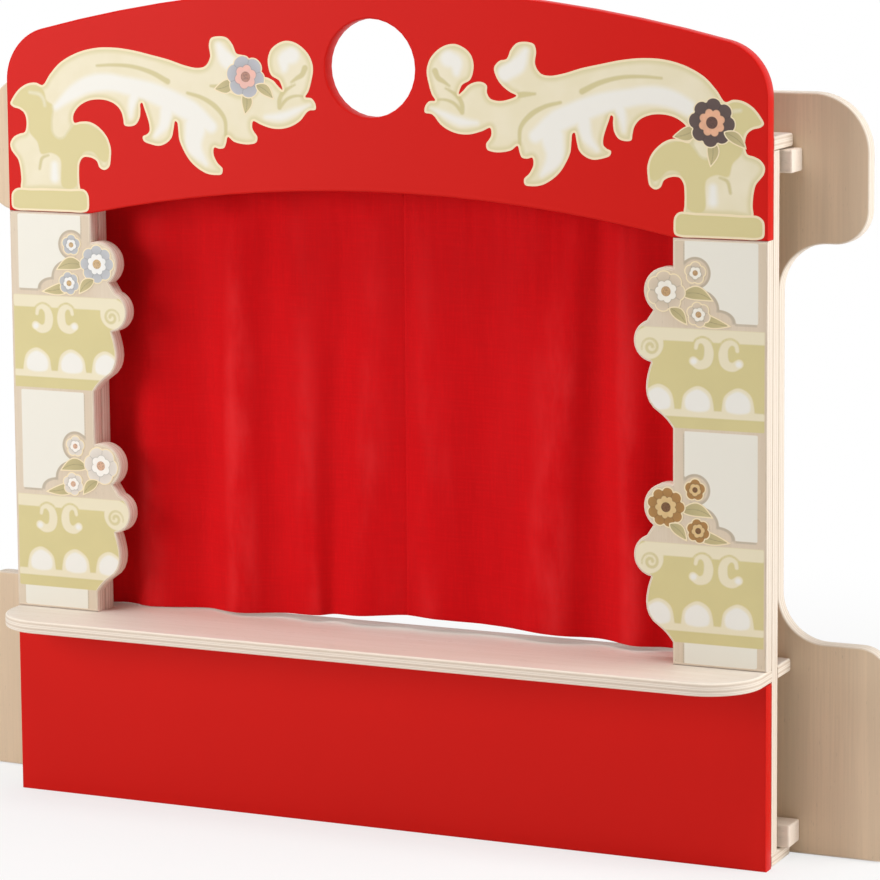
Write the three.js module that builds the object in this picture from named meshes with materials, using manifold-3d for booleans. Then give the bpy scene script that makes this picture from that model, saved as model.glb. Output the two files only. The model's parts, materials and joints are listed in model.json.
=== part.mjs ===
// A table-top puppet theatre in birch plywood. A painted front with an arched header stands on a stage
// shelf, posts and boards brace it from behind, two curtains hang on a rod across the opening, and two
// side wings swing back on pins so that the front stands up by itself.
// Millimetres. X runs along the front to the right, Y to the back and Z up. The origin is the middle of
// the base board's underside, which rests on the table.
import * as THREE from 'three';
import { mergeVertices } from 'three/addons/utils/BufferGeometryUtils.js';
import Module from 'manifold-3d';

// Sheets and clearances
const frontSheet = 15;
const flatSheet = 12;
const glueLine = 0.2;
const seatGap = 0.3;
const runningGap = 0.3;
const cutOverrun = 2;

// Front
const frontWidth = 750;
const apronHeight = 166;
const openingHeight = 376;
const columnWidth = 87;
const headerHeight = 211.5;
const archRise = 29.5;
const crownRadius = 1393;
const shoulderRadius = 50;
const handHoleDiameter = 88;
const handHoleDrop = 71.5;

// Corbels on the columns, measured from the column's inner edge and from each volute's middle
const corbelRiseShares = { upper: 0.758, lower: 0.254 };
const rosetteRadius = 21;
const rosetteInset = -6;
const rosetteRise = 44;
const voluteRadius = 19;
const voluteInset = -17.5;
const bellyReach = 25;
const bellyTopDrop = 24;
const bellyFootDrop = 76;
const rosetteEndDegrees = 234;
const voluteStartDegrees = 111.6;
const voluteEndDegrees = 261;
const bellyPoints = {
  first: { reachShare: 1, dropShare: 0.15 },
  widest: { reachShare: 1.25, dropShare: 0.55 },
  lower: { reachShare: 0.5, dropShare: 0.75 },
  tail: { reachShare: 0.2, dropShare: 0.85 },
};

// Boards
const boardDepth = 50;
const boardCornerRadius = 3;
const shelfReach = 60;
const shelfCornerRadius = 50;
const topBoardRise = 88;

// Wings
const swingGap = 1.3;
const wingLift = 1;
const wingRise = 35;
const neckInset = 12.5;
const neckRadius = 43;
const lowerLobeHeight = 191;
const lowerLobeReach = 90;
const lowerLobeRadius = 28;
const footRadius = 10;
const upperLobeHeight = 131.5;
const upperLobeReach = 68.5;
const upperLobeRadius = 52;
const upperLobeFootRadius = 31;
const innerCornerRadius = 20;
const leftWingRestDegrees = 3;

// Wing hinges
const pinInset = 75;
const pinDiameter = 6;
const pinHeadDiameter = 14;
const pinHeadHeight = 2.5;
const pinHold = 12;
const basePinHold = 9;
const blockFrontGap = 8;
const blockHeight = 20;
const blockOverhang = 8;
const blockClearance = 1;
const washerDiameter = 14;
const washerGap = 0.1;

// Curtains and their rod
const curtainThickness = 1.2;
const curtainOverlap = 18;
const curtainMeetX = 12;
const closingGap = 1;
const sleeveGap = 0.8;
const foldDepth = 8;
const foldStart = 30;
const hemClearance = 3;
const hemBow = 8;
const leftFolds = [
  { acrossShare: 0, depthShare: 0.3 }, { acrossShare: 0.07, depthShare: 0.8 },
  { acrossShare: 0.2, depthShare: -0.5 }, { acrossShare: 0.31, depthShare: 0.5 },
  { acrossShare: 0.42, depthShare: -0.2 }, { acrossShare: 0.53, depthShare: 1 },
  { acrossShare: 0.67, depthShare: -1 }, { acrossShare: 0.82, depthShare: 0.7 },
  { acrossShare: 0.93, depthShare: -0.6 }, { acrossShare: 1, depthShare: 0.2 },
];
const rightFolds = [
  { acrossShare: 0, depthShare: -0.2 }, { acrossShare: 0.08, depthShare: 0.4 },
  { acrossShare: 0.3, depthShare: -0.3 }, { acrossShare: 0.56, depthShare: 0.9 },
  { acrossShare: 0.66, depthShare: -0.7 }, { acrossShare: 0.75, depthShare: 0.8 },
  { acrossShare: 0.87, depthShare: -0.9 }, { acrossShare: 1, depthShare: 0.4 },
];
const rodDiameter = 12;
const rodStandoff = 13;
const rodTip = 2;
const bracketWidth = 14;
const bracketGap = 4;
const bracketDrop = 3;
const bracketWall = 6;
const bracketTail = 36;
const bracketCornerRadius = 4;

// Wood screws and dowels
const screwHeadDiameter = 8;
const screwHeadHeight = 3;
const screwShankDiameter = 4;
const screwTipLength = 4;
const wingScrewLength = 30;
const wingScrewInset = 12;
const postScrewHold = 10;
const postScrewInset = 40;
const boardScrewLength = 32;
const bracketScrewHold = 11;
const bracketScrewPitch = 13;
const dowelDiameter = 8;
const dowelChamfer = 1;
const shelfDowelLength = 22;
const shelfDowelDepth = 8;
const shelfDowelPitch = 220;
const headerDowelLength = 24;
const headerDowelDepth = 10;
const headerDowelPitch = 380;

// Roundness
const arcSegments = 8;
const boreSegments = 20;
const pinSegments = 24;
const screwSegments = 10;
const curtainSteps = 40;
const curtainLevels = 6;
const sleeveSegments = 4;

// Places that follow from the sizes
const halfWidth = frontWidth / 2;
const openingHalf = halfWidth - columnWidth;
const postMiddle = openingHalf + columnWidth / 2;
const frontFaceY = -(frontSheet + glueLine + boardDepth / 2);
const frontMiddleY = frontFaceY + frontSheet / 2;
const frontBackY = frontFaceY + frontSheet;
const postFrontY = frontBackY + glueLine;
const postMiddleY = postFrontY + frontSheet / 2;
const postBackY = postFrontY + frontSheet;
const boardFrontY = frontBackY + glueLine;
const boardBackY = boardFrontY + boardDepth;
const shelfTop = apronHeight + flatSheet;
const archFoot = shelfTop + openingHeight;
const crownTop = archFoot + headerHeight;
const topBoardTop = archFoot + topBoardRise;
const topBoardBottom = topBoardTop - flatSheet;
const wingTop = topBoardTop + wingRise;
const wingFaceY = boardBackY + swingGap;
const wingBackY = wingFaceY + frontSheet;
const blockBackY = wingFaceY - seatGap;
const blockDepth = blockBackY - postBackY - blockFrontGap;
const pinX = halfWidth - pinInset;
const pinY = blockBackY - blockDepth / 2;
const wingInnerX = pinX + (wingFaceY - pinY) + swingGap;
const neckX = halfWidth - neckInset;
const upperBlockTop = topBoardBottom - blockClearance;
const upperBlockBottom = upperBlockTop - blockHeight;
const lowerBlockBottom = flatSheet + blockClearance;
const rodY = postBackY + rodStandoff;
const bracketTop = upperBlockBottom - bracketDrop;
const rodZ = bracketTop - bracketWall - rodDiameter / 2;
const curtainOuterX = openingHalf + curtainOverlap;
const bracketInnerX = curtainOuterX + bracketGap;

const quarterTurn = Math.PI / 2;
const halfTurn = Math.PI;
const inRadians = THREE.MathUtils.degToRad;

const wasm = await Module();
wasm.setup();

// Finishes
const redPaint = new THREE.MeshStandardMaterial({ color: '#c8281f', roughness: 0.42 });
const naturalPly = new THREE.MeshStandardMaterial({ color: '#e4d3b8', roughness: 0.55 });
const columnPrint = new THREE.MeshStandardMaterial({ color: '#d8cfae', roughness: 0.5 });
const wingPly = new THREE.MeshStandardMaterial({ color: '#cfb592', roughness: 0.6 });
const solidBeech = new THREE.MeshStandardMaterial({ color: '#dcc3a2', roughness: 0.6 });
const redCloth = new THREE.MeshStandardMaterial({ color: '#c41419', roughness: 0.9 });
const zincSteel = new THREE.MeshStandardMaterial({ color: '#b9bcc0', roughness: 0.35, metalness: 1 });

// Solid helpers
function mergeable(geometry) {
  const bare = geometry.clone();
  bare.deleteAttribute('normal');
  bare.deleteAttribute('uv');
  return mergeVertices(bare);
}

function toSolid(geometry) {
  const merged = mergeable(geometry);
  return new wasm.Manifold(new wasm.Mesh({
    numProp: 3,
    vertProperties: new Float32Array(merged.attributes.position.array),
    triVerts: new Uint32Array(merged.index.array),
  }));
}

function toGeometry(solid) {
  const mesh = solid.getMesh();
  const geometry = new THREE.BufferGeometry();
  geometry.setAttribute('position', new THREE.BufferAttribute(mesh.vertProperties, 3));
  geometry.setIndex(new THREE.BufferAttribute(mesh.triVerts, 1));
  return geometry;
}

function cutAway(geometry, cutters) {
  return toGeometry(cutters.reduce((solid, cutter) => solid.subtract(toSolid(cutter)), toSolid(geometry)));
}

function mirrored(geometry) {
  const flipped = mergeable(geometry);
  flipped.scale(-1, 1, 1);
  const index = flipped.index.array;
  for (let corner = 0; corner < index.length; corner += 3) {
    [index[corner], index[corner + 1]] = [index[corner + 1], index[corner]];
  }
  return flipped;
}

// A sheet whose outline is drawn in X and Z, from its front face back
function uprightSheet(shape, frontY, thickness) {
  const geometry = new THREE.ExtrudeGeometry(shape, {
    depth: thickness, bevelEnabled: false, curveSegments: arcSegments,
  });
  geometry.rotateX(quarterTurn);
  geometry.translate(0, frontY + thickness, 0);
  return geometry;
}

// A sheet whose outline is drawn in X and Y, from its underside up
function flatBoard(shape, bottomZ, thickness) {
  const geometry = new THREE.ExtrudeGeometry(shape, {
    depth: thickness, bevelEnabled: false, curveSegments: arcSegments,
  });
  geometry.translate(0, 0, bottomZ);
  return geometry;
}

function rectangle(left, bottom, right, top) {
  const shape = new THREE.Shape();
  shape.moveTo(left, bottom);
  shape.lineTo(right, bottom);
  shape.lineTo(right, top);
  shape.lineTo(left, top);
  shape.closePath();
  return shape;
}

// Round pieces and the cuts that take them
function uprightCylinder(radius, bottomZ, topZ, x, y, segments) {
  const geometry = new THREE.CylinderGeometry(radius, radius, topZ - bottomZ, segments);
  geometry.rotateX(quarterTurn);
  geometry.translate(x, y, (bottomZ + topZ) / 2);
  return geometry;
}

// A turned piece that points along +Z, tip first, with its other end at the given place
function turned(profile, segments) {
  const points = profile.map(([radius, height]) => new THREE.Vector2(radius, height));
  const geometry = new THREE.LatheGeometry(points, segments);
  geometry.rotateX(quarterTurn);
  return mergeable(geometry);
}

function screwProfile(length, spare, overrun) {
  const head = screwHeadDiameter / 2 + spare;
  const shank = screwShankDiameter / 2 + spare;
  const profile = [[0, length + spare], [shank, length - screwTipLength + spare],
    [shank, screwHeadHeight], [head, 0]];
  if (overrun > 0) profile.push([head, -overrun]);
  profile.push([0, -overrun]);
  return profile.reverse();
}

const towards = {
  up: (geometry) => geometry,
  down: (geometry) => geometry.rotateX(halfTurn),
  front: (geometry) => geometry.rotateX(quarterTurn),
};

function screw(length, heading, x, y, z) {
  const geometry = towards[heading](turned(screwProfile(length, 0, 0), screwSegments));
  geometry.translate(x, y, z);
  return geometry;
}

function screwHole(length, heading, x, y, z) {
  const geometry = towards[heading](turned(screwProfile(length, seatGap, cutOverrun), screwSegments));
  geometry.translate(x, y, z);
  return geometry;
}

function dowelProfile(radius, length, chamfer) {
  return [[0, 0], [radius - chamfer, 0], [radius, chamfer], [radius, length - chamfer],
    [radius - chamfer, length], [0, length]];
}

function dowel(length, heading, x, y, z) {
  const profile = dowelProfile(dowelDiameter / 2, length, dowelChamfer);
  const geometry = towards[heading](turned(profile, screwSegments));
  geometry.translate(x, y, z);
  return geometry;
}

function dowelHole(length, heading, x, y, z) {
  const profile = dowelProfile(dowelDiameter / 2 + seatGap, length + 2 * seatGap, dowelChamfer);
  const geometry = turned(profile, screwSegments);
  geometry.translate(0, 0, -seatGap);
  towards[heading](geometry).translate(x, y, z);
  return geometry;
}

// Where the screws and dowels go, for the right-hand side
const postScrewHeights = [apronHeight / 2, shelfTop + postScrewInset, archFoot - postScrewInset,
  (archFoot + topBoardTop - boardScrewLength) / 2];
const wingScrewPlaces = [wingInnerX + wingScrewInset, neckX - wingScrewInset];
const bracketScrewHeights = [rodZ - bracketScrewPitch, rodZ - 2 * bracketScrewPitch];
const bracketMiddleX = bracketInnerX + bracketWidth / 2;
const bracketBackY = rodY + rodDiameter / 2 + bracketWall;
const postScrewLength = frontSheet + glueLine + postScrewHold;
const bracketScrewLength = bracketBackY - postBackY + bracketScrewHold;
const shelfDowelPlaces = [-shelfDowelPitch, 0, shelfDowelPitch];
const headerDowelPlaces = [-headerDowelPitch / 2, headerDowelPitch / 2];
const shelfDowelBottom = apronHeight + shelfDowelDepth - shelfDowelLength;
const headerDowelBackY = frontBackY - headerDowelDepth + headerDowelLength;
const headerDowelZ = topBoardBottom + flatSheet / 2;

const headerDowelHole = (x) => dowelHole(headerDowelLength, 'front', x, headerDowelBackY, headerDowelZ);
const shelfDowelHole = (x) => dowelHole(shelfDowelLength, 'up', x, frontMiddleY, shelfDowelBottom);
const postScrewHole = (z) => screwHole(postScrewLength, 'front', postMiddle, postBackY, z);
const bracketScrewHole = (z) => screwHole(bracketScrewLength, 'front', bracketMiddleX, bracketBackY, z);
const bothHands = (cutter) => [cutter, mirrored(cutter)];

// Header: a panel with an arched crown, round shoulders, a hand hole and an arched lower edge
function headerOutline() {
  const crownZ = crownTop - crownRadius;
  const shoulderX = halfWidth - shoulderRadius;
  const shoulderZ = crownZ + Math.sqrt((crownRadius - shoulderRadius) ** 2 - shoulderX ** 2);
  const turn = Math.atan2(shoulderZ - crownZ, shoulderX);
  const archRadius = (openingHalf ** 2 + archRise ** 2) / (2 * archRise);
  const archZ = archFoot + archRise - archRadius;
  const archTurn = Math.atan2(archFoot - archZ, openingHalf);
  const shape = new THREE.Shape();
  shape.moveTo(halfWidth, archFoot);
  shape.lineTo(halfWidth, shoulderZ);
  shape.absarc(shoulderX, shoulderZ, shoulderRadius, 0, turn);
  shape.absarc(0, crownZ, crownRadius, turn, halfTurn - turn);
  shape.absarc(-shoulderX, shoulderZ, shoulderRadius, halfTurn - turn, halfTurn);
  shape.lineTo(-halfWidth, archFoot);
  shape.absarc(0, archZ, archRadius, halfTurn - archTurn, archTurn, true);
  shape.closePath();
  const handHole = new THREE.Path();
  handHole.absarc(0, crownTop - handHoleDrop, handHoleDiameter / 2, 0, -halfTurn, true);
  handHole.absarc(0, crownTop - handHoleDrop, handHoleDiameter / 2, -halfTurn, -2 * halfTurn, true);
  shape.holes.push(handHole);
  return shape;
}

function headerPanel() {
  const holes = headerDowelPlaces.map(headerDowelHole);
  return cutAway(uprightSheet(headerOutline(), frontFaceY, frontSheet),
    [...bothHands(postScrewHole(postScrewHeights[3])), ...holes]);
}

// Right column: straight on the outside, with a rosette, a volute and a belly above and below inside
function corbelEdge(shape, middleZ) {
  const rosetteTurn = Math.acos(-rosetteInset / rosetteRadius);
  const bellyTop = middleZ - bellyTopDrop;
  const bellyHeight = bellyFootDrop - bellyTopDrop;
  const onBelly = ({ reachShare, dropShare }) => [
    openingHalf - reachShare * bellyReach, bellyTop - dropShare * bellyHeight];
  shape.absarc(openingHalf + rosetteInset, middleZ + rosetteRise, rosetteRadius, rosetteTurn,
    inRadians(rosetteEndDegrees));
  shape.absarc(openingHalf + voluteInset, middleZ, voluteRadius, inRadians(voluteStartDegrees),
    inRadians(voluteEndDegrees));
  shape.bezierCurveTo(...onBelly(bellyPoints.first), ...onBelly(bellyPoints.widest),
    ...onBelly(bellyPoints.lower));
  shape.quadraticCurveTo(...onBelly(bellyPoints.tail), openingHalf, middleZ - bellyFootDrop);
}

function columnOutline() {
  const bottom = shelfTop + glueLine;
  const shape = new THREE.Shape();
  shape.moveTo(openingHalf, bottom);
  shape.lineTo(halfWidth, bottom);
  shape.lineTo(halfWidth, archFoot - glueLine);
  shape.lineTo(openingHalf, archFoot - glueLine);
  corbelEdge(shape, shelfTop + corbelRiseShares.upper * openingHeight);
  corbelEdge(shape, shelfTop + corbelRiseShares.lower * openingHeight);
  shape.closePath();
  return shape;
}

function columnPanel() {
  return cutAway(uprightSheet(columnOutline(), frontFaceY, frontSheet),
    postScrewHeights.slice(1, 3).map(postScrewHole));
}

// Apron under the shelf
function apronPanel() {
  const shape = rectangle(-halfWidth, 0, halfWidth, apronHeight - glueLine);
  const holes = shelfDowelPlaces.map(shelfDowelHole);
  return cutAway(uprightSheet(shape, frontFaceY, frontSheet),
    [...bothHands(postScrewHole(postScrewHeights[0])), ...holes]);
}

// Right post, from the base board to the top board
const topBoardScrewHole = () => screwHole(boardScrewLength, 'down', postMiddle, postMiddleY, topBoardTop);
const baseBoardScrewHole = () => screwHole(boardScrewLength, 'up', postMiddle, postMiddleY, seatGap);

function post() {
  const shape = rectangle(openingHalf, flatSheet + glueLine, halfWidth, topBoardBottom - glueLine);
  return cutAway(uprightSheet(shape, postFrontY, frontSheet),
    [...postScrewHeights.map(postScrewHole), ...bracketScrewHeights.map(bracketScrewHole),
      topBoardScrewHole(), baseBoardScrewHole()]);
}

// Boards across the back and the stage shelf that runs out to the front
function roundBackCorners(shape) {
  const cornerX = halfWidth - boardCornerRadius;
  const cornerY = boardBackY - boardCornerRadius;
  shape.absarc(cornerX, cornerY, boardCornerRadius, 0, quarterTurn);
  shape.absarc(-cornerX, cornerY, boardCornerRadius, quarterTurn, halfTurn);
}

function backBoardOutline() {
  const shape = new THREE.Shape();
  shape.moveTo(-halfWidth, boardFrontY);
  shape.lineTo(halfWidth, boardFrontY);
  roundBackCorners(shape);
  shape.closePath();
  return shape;
}

function topBoard() {
  const pinHole = uprightCylinder(pinDiameter / 2 + runningGap, topBoardBottom - cutOverrun,
    topBoardTop + cutOverrun, pinX, pinY, boreSegments);
  const holes = headerDowelPlaces.map(headerDowelHole);
  return cutAway(flatBoard(backBoardOutline(), topBoardBottom, flatSheet),
    [...bothHands(pinHole), ...bothHands(topBoardScrewHole()), ...holes]);
}

function baseBoard() {
  const pinHole = uprightCylinder(pinDiameter / 2 + runningGap, flatSheet - basePinHold - seatGap,
    flatSheet + cutOverrun, pinX, pinY, boreSegments);
  return cutAway(flatBoard(backBoardOutline(), 0, flatSheet),
    [...bothHands(pinHole), ...bothHands(baseBoardScrewHole())]);
}

function shelfOutline() {
  const corner = Math.min(shelfCornerRadius, shelfReach + frontSheet);
  const shelfFrontY = frontFaceY - shelfReach;
  const notchX = openingHalf - glueLine;
  const notchFrontY = postFrontY - glueLine;
  const notchBackY = postBackY + glueLine;
  const shape = new THREE.Shape();
  shape.moveTo(-halfWidth + corner, shelfFrontY);
  shape.absarc(halfWidth - corner, shelfFrontY + corner, corner, -quarterTurn, 0);
  shape.lineTo(halfWidth, notchFrontY);
  shape.lineTo(notchX, notchFrontY);
  shape.lineTo(notchX, notchBackY);
  shape.lineTo(halfWidth, notchBackY);
  roundBackCorners(shape);
  shape.lineTo(-halfWidth, notchBackY);
  shape.lineTo(-notchX, notchBackY);
  shape.lineTo(-notchX, notchFrontY);
  shape.lineTo(-halfWidth, notchFrontY);
  shape.absarc(-halfWidth + corner, shelfFrontY + corner, corner, halfTurn, halfTurn + quarterTurn);
  shape.closePath();
  return shape;
}

function stageShelf() {
  const holes = shelfDowelPlaces.map(shelfDowelHole);
  return cutAway(flatBoard(shelfOutline(), apronHeight, flatSheet), holes);
}

// Right wing: an upper lobe, a narrow neck and a wider lower lobe
function wingOutline() {
  const lowerOuterX = halfWidth + lowerLobeReach;
  const upperOuterX = halfWidth + upperLobeReach;
  const lowerTop = wingLift + lowerLobeHeight;
  const upperBottom = wingTop - upperLobeHeight;
  const shape = new THREE.Shape();
  shape.moveTo(wingInnerX, wingLift);
  shape.lineTo(lowerOuterX - footRadius, wingLift);
  shape.absarc(lowerOuterX - footRadius, wingLift + footRadius, footRadius, -quarterTurn, 0);
  shape.absarc(lowerOuterX - lowerLobeRadius, lowerTop - lowerLobeRadius, lowerLobeRadius, 0,
    quarterTurn);
  shape.absarc(neckX + neckRadius, lowerTop + neckRadius, neckRadius, -quarterTurn, -halfTurn, true);
  shape.absarc(neckX + neckRadius, upperBottom - neckRadius, neckRadius, halfTurn, quarterTurn, true);
  shape.absarc(upperOuterX - upperLobeFootRadius, upperBottom + upperLobeFootRadius, upperLobeFootRadius,
    -quarterTurn, 0);
  shape.absarc(upperOuterX - upperLobeRadius, wingTop - upperLobeRadius, upperLobeRadius, 0,
    quarterTurn);
  shape.absarc(wingInnerX + innerCornerRadius, wingTop - innerCornerRadius, innerCornerRadius,
    quarterTurn, halfTurn);
  shape.closePath();
  return shape;
}

const wingScrewHoles = (z) => wingScrewPlaces.map(
  (x) => screwHole(wingScrewLength, 'front', x, wingBackY, z));
const upperBlockMiddle = upperBlockBottom + blockHeight / 2;
const lowerBlockMiddle = lowerBlockBottom + blockHeight / 2;

function wing() {
  return cutAway(uprightSheet(wingOutline(), wingFaceY, frontSheet),
    [...wingScrewHoles(upperBlockMiddle), ...wingScrewHoles(lowerBlockMiddle)]);
}

// Hinge blocks, round at the pin, screwed to the wing's front face
function blockOutline() {
  const shape = new THREE.Shape();
  shape.moveTo(halfWidth + blockOverhang, blockBackY - blockDepth);
  shape.lineTo(halfWidth + blockOverhang, blockBackY);
  shape.absarc(pinX, pinY, blockDepth / 2, quarterTurn, 3 * quarterTurn);
  shape.closePath();
  return shape;
}

function hingeBlock(bottomZ, boreFrom, boreTo) {
  const bore = uprightCylinder(pinDiameter / 2 + runningGap, boreFrom, boreTo, pinX, pinY, boreSegments);
  return cutAway(flatBoard(blockOutline(), bottomZ, blockHeight),
    [bore, ...wingScrewHoles(bottomZ + blockHeight / 2)]);
}

const upperBlock = () => hingeBlock(upperBlockBottom, upperBlockTop - pinHold - seatGap,
  upperBlockTop + cutOverrun);
const lowerBlock = () => hingeBlock(lowerBlockBottom, lowerBlockBottom - cutOverrun,
  lowerBlockBottom + pinHold + seatGap);

// Hinge pins: the upper one drops in from above and has a head, the lower one stands in the base board
function upperPin() {
  const radius = pinDiameter / 2;
  const length = flatSheet + blockClearance + pinHold + seatGap;
  const geometry = turned([[0, -length], [radius, -length], [radius, 0], [pinHeadDiameter / 2, 0],
    [pinHeadDiameter / 2, pinHeadHeight / 2], [pinHeadDiameter / 2 - pinHeadHeight / 2, pinHeadHeight],
    [0, pinHeadHeight]], pinSegments);
  geometry.translate(pinX, pinY, topBoardTop + seatGap);
  return geometry;
}

const lowerPin = () => uprightCylinder(pinDiameter / 2, flatSheet - basePinHold, lowerBlockBottom + pinHold,
  pinX, pinY, pinSegments);

// Washer that carries the wing, between the base board and the lower block
function washer() {
  const outer = washerDiameter / 2;
  const inner = pinDiameter / 2 + runningGap;
  const geometry = turned([[inner, 0], [outer, 0], [outer, blockClearance - 2 * washerGap],
    [inner, blockClearance - 2 * washerGap], [inner, 0]], pinSegments);
  geometry.translate(pinX, pinY, flatSheet + washerGap);
  return geometry;
}

// Curtain rod across the opening and the bracket that holds its right end
function curtainRod() {
  const length = 2 * (bracketInnerX + bracketWidth + rodTip);
  const geometry = turned(dowelProfile(rodDiameter / 2, length, dowelChamfer), pinSegments);
  geometry.translate(0, 0, -length / 2);
  geometry.rotateY(quarterTurn);
  geometry.translate(0, rodY, rodZ);
  return geometry;
}

// A section drawn in Y and Z, run along X
function alongX(shape, fromX, length, steps, segments) {
  const geometry = new THREE.ExtrudeGeometry(shape, {
    depth: length, steps, bevelEnabled: false, curveSegments: segments,
  });
  const turn = new THREE.Matrix4().makeBasis(
    new THREE.Vector3(0, 1, 0), new THREE.Vector3(0, 0, 1), new THREE.Vector3(1, 0, 0));
  geometry.applyMatrix4(turn);
  geometry.translate(fromX, 0, 0);
  return geometry;
}

function rodBracket() {
  const front = postBackY + glueLine;
  const bottom = rodZ - bracketTail;
  const radius = bracketCornerRadius;
  const shape = new THREE.Shape();
  shape.moveTo(front, bottom);
  shape.lineTo(bracketBackY - radius, bottom);
  shape.absarc(bracketBackY - radius, bottom + radius, radius, -quarterTurn, 0);
  shape.absarc(bracketBackY - radius, bracketTop - radius, radius, 0, quarterTurn);
  shape.lineTo(front, bracketTop);
  shape.closePath();
  const bore = new THREE.Path();
  bore.absarc(rodY, rodZ, rodDiameter / 2 + runningGap, 0, 2 * halfTurn, true);
  shape.holes.push(bore);
  return cutAway(alongX(shape, bracketInnerX, bracketWidth, 1, arcSegments),
    bracketScrewHeights.map(bracketScrewHole));
}

// How far the cloth stands forward at a share of the way across, as a share of the fold's depth
function foldWave(folds, across) {
  const next = Math.max(folds.findIndex(({ acrossShare }) => acrossShare >= across), 1);
  const [from, to] = [folds[next - 1], folds[next]];
  const blend = THREE.MathUtils.smoothstep(across, from.acrossShare, to.acrossShare);
  return THREE.MathUtils.lerp(from.depthShare, to.depthShare, blend);
}

// Right curtain: a sleeve round the rod, then a sheet whose folds deepen downwards and whose hem bows up
function curtain(innerX, outerX, folds) {
  const halfSheet = curtainThickness / 2;
  const sleeve = rodDiameter / 2 + sleeveGap;
  const sleeveOuter = sleeve + curtainThickness;
  const opening = Math.asin(halfSheet / sleeveOuter);
  const sheetTop = rodZ - Math.sqrt(sleeveOuter ** 2 - halfSheet ** 2);
  const hem = shelfTop + hemClearance;
  const level = (step) => hem + (sheetTop - hem) * (step / curtainLevels);
  const section = new THREE.Shape();
  section.moveTo(rodY + halfSheet, hem);
  for (let step = 1; step < curtainLevels; step += 1) section.lineTo(rodY + halfSheet, level(step));
  section.absarc(rodY, rodZ, sleeveOuter, -quarterTurn + opening, 3 * quarterTurn - opening);
  for (let step = curtainLevels - 1; step >= 0; step -= 1) section.lineTo(rodY - halfSheet, level(step));
  section.closePath();
  const sleeveHole = new THREE.Path();
  sleeveHole.absarc(rodY, rodZ, sleeve, 0, 2 * halfTurn, true);
  section.holes.push(sleeveHole);
  const geometry = mergeable(alongX(section, innerX, outerX - innerX, curtainSteps, sleeveSegments));
  const place = geometry.attributes.position;
  for (let corner = 0; corner < place.count; corner += 1) {
    const [x, y, z] = [place.getX(corner), place.getY(corner), place.getZ(corner)];
    const across = (x - innerX) / (outerX - innerX);
    const down = Math.min(Math.max((sheetTop - z) / (sheetTop - hem), 0), 1);
    const hang = THREE.MathUtils.smoothstep(sheetTop - z, 0, foldStart + (sheetTop - hem) / 2);
    place.setY(corner, y - hang * foldDepth * foldWave(folds, Math.min(Math.max(across, 0), 1)));
    place.setZ(corner, z + down * hemBow * Math.cos(quarterTurn * across) ** 2);
  }
  return geometry;
}

// Assembly
const theatre = new THREE.Group();

function add(group, name, geometry, material) {
  const mesh = new THREE.Mesh(geometry, material);
  mesh.name = name;
  group.add(mesh);
}

function addPair(name, geometry, material, leftGroup = theatre, rightGroup = theatre) {
  add(leftGroup, `left_${name}`, mirrored(geometry), material);
  add(rightGroup, `right_${name}`, geometry, material);
}

function turnedAbout(x, y, degrees) {
  const pivot = new THREE.Group();
  pivot.position.set(x, y, 0);
  pivot.rotation.z = inRadians(degrees);
  const inner = new THREE.Group();
  inner.position.set(-x, -y, 0);
  pivot.add(inner);
  theatre.add(pivot);
  return inner;
}

add(theatre, 'header_panel', headerPanel(), redPaint);
addPair('column_panel', columnPanel(), columnPrint);
add(theatre, 'apron_panel', apronPanel(), redPaint);
addPair('post', post(), naturalPly);
add(theatre, 'stage_shelf', stageShelf(), naturalPly);
add(theatre, 'base_board', baseBoard(), naturalPly);
add(theatre, 'top_board', topBoard(), naturalPly);

const leftWing = turnedAbout(-pinX, pinY, -leftWingRestDegrees);
const rightWing = turnedAbout(pinX, pinY, 0);
addPair('wing', wing(), wingPly, leftWing, rightWing);
addPair('upper_hinge_block', upperBlock(), solidBeech, leftWing, rightWing);
addPair('lower_hinge_block', lowerBlock(), solidBeech, leftWing, rightWing);
[['upper', upperBlockMiddle], ['lower', lowerBlockMiddle]].forEach(([level, z]) => {
  wingScrewPlaces.forEach((x, place) => addPair(`${level}_block_screw_${place + 1}`,
    screw(wingScrewLength, 'front', x, wingBackY, z), zincSteel, leftWing, rightWing));
});
addPair('upper_hinge_pin', upperPin(), zincSteel);
addPair('lower_hinge_pin', lowerPin(), zincSteel);
addPair('hinge_washer', washer(), zincSteel);

add(theatre, 'curtain_rod', curtainRod(), solidBeech);
addPair('rod_bracket', rodBracket(), solidBeech);
bracketScrewHeights.forEach((z, place) => addPair(`bracket_screw_${place + 1}`,
  screw(bracketScrewLength, 'front', bracketMiddleX, bracketBackY, z), zincSteel));
const leftCurtain = curtain(closingGap / 2 - curtainMeetX, curtainOuterX, leftFolds);
const rightCurtain = curtain(closingGap / 2 + curtainMeetX, curtainOuterX, rightFolds);
add(theatre, 'left_curtain', mirrored(leftCurtain), redCloth);
add(theatre, 'right_curtain', rightCurtain, redCloth);

postScrewHeights.forEach((z, place) => addPair(`post_screw_${place + 1}`,
  screw(postScrewLength, 'front', postMiddle, postBackY, z), zincSteel));
addPair('top_board_screw', screw(boardScrewLength, 'down', postMiddle, postMiddleY, topBoardTop), zincSteel);
addPair('base_board_screw', screw(boardScrewLength, 'up', postMiddle, postMiddleY, seatGap), zincSteel);
shelfDowelPlaces.forEach((x, place) => add(theatre, `shelf_dowel_${place + 1}`,
  dowel(shelfDowelLength, 'up', x, frontMiddleY, shelfDowelBottom), solidBeech));
headerDowelPlaces.forEach((x, place) => add(theatre, `header_dowel_${place + 1}`,
  dowel(headerDowelLength, 'front', x, headerDowelBackY, headerDowelZ), solidBeech));

export default theatre;
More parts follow.
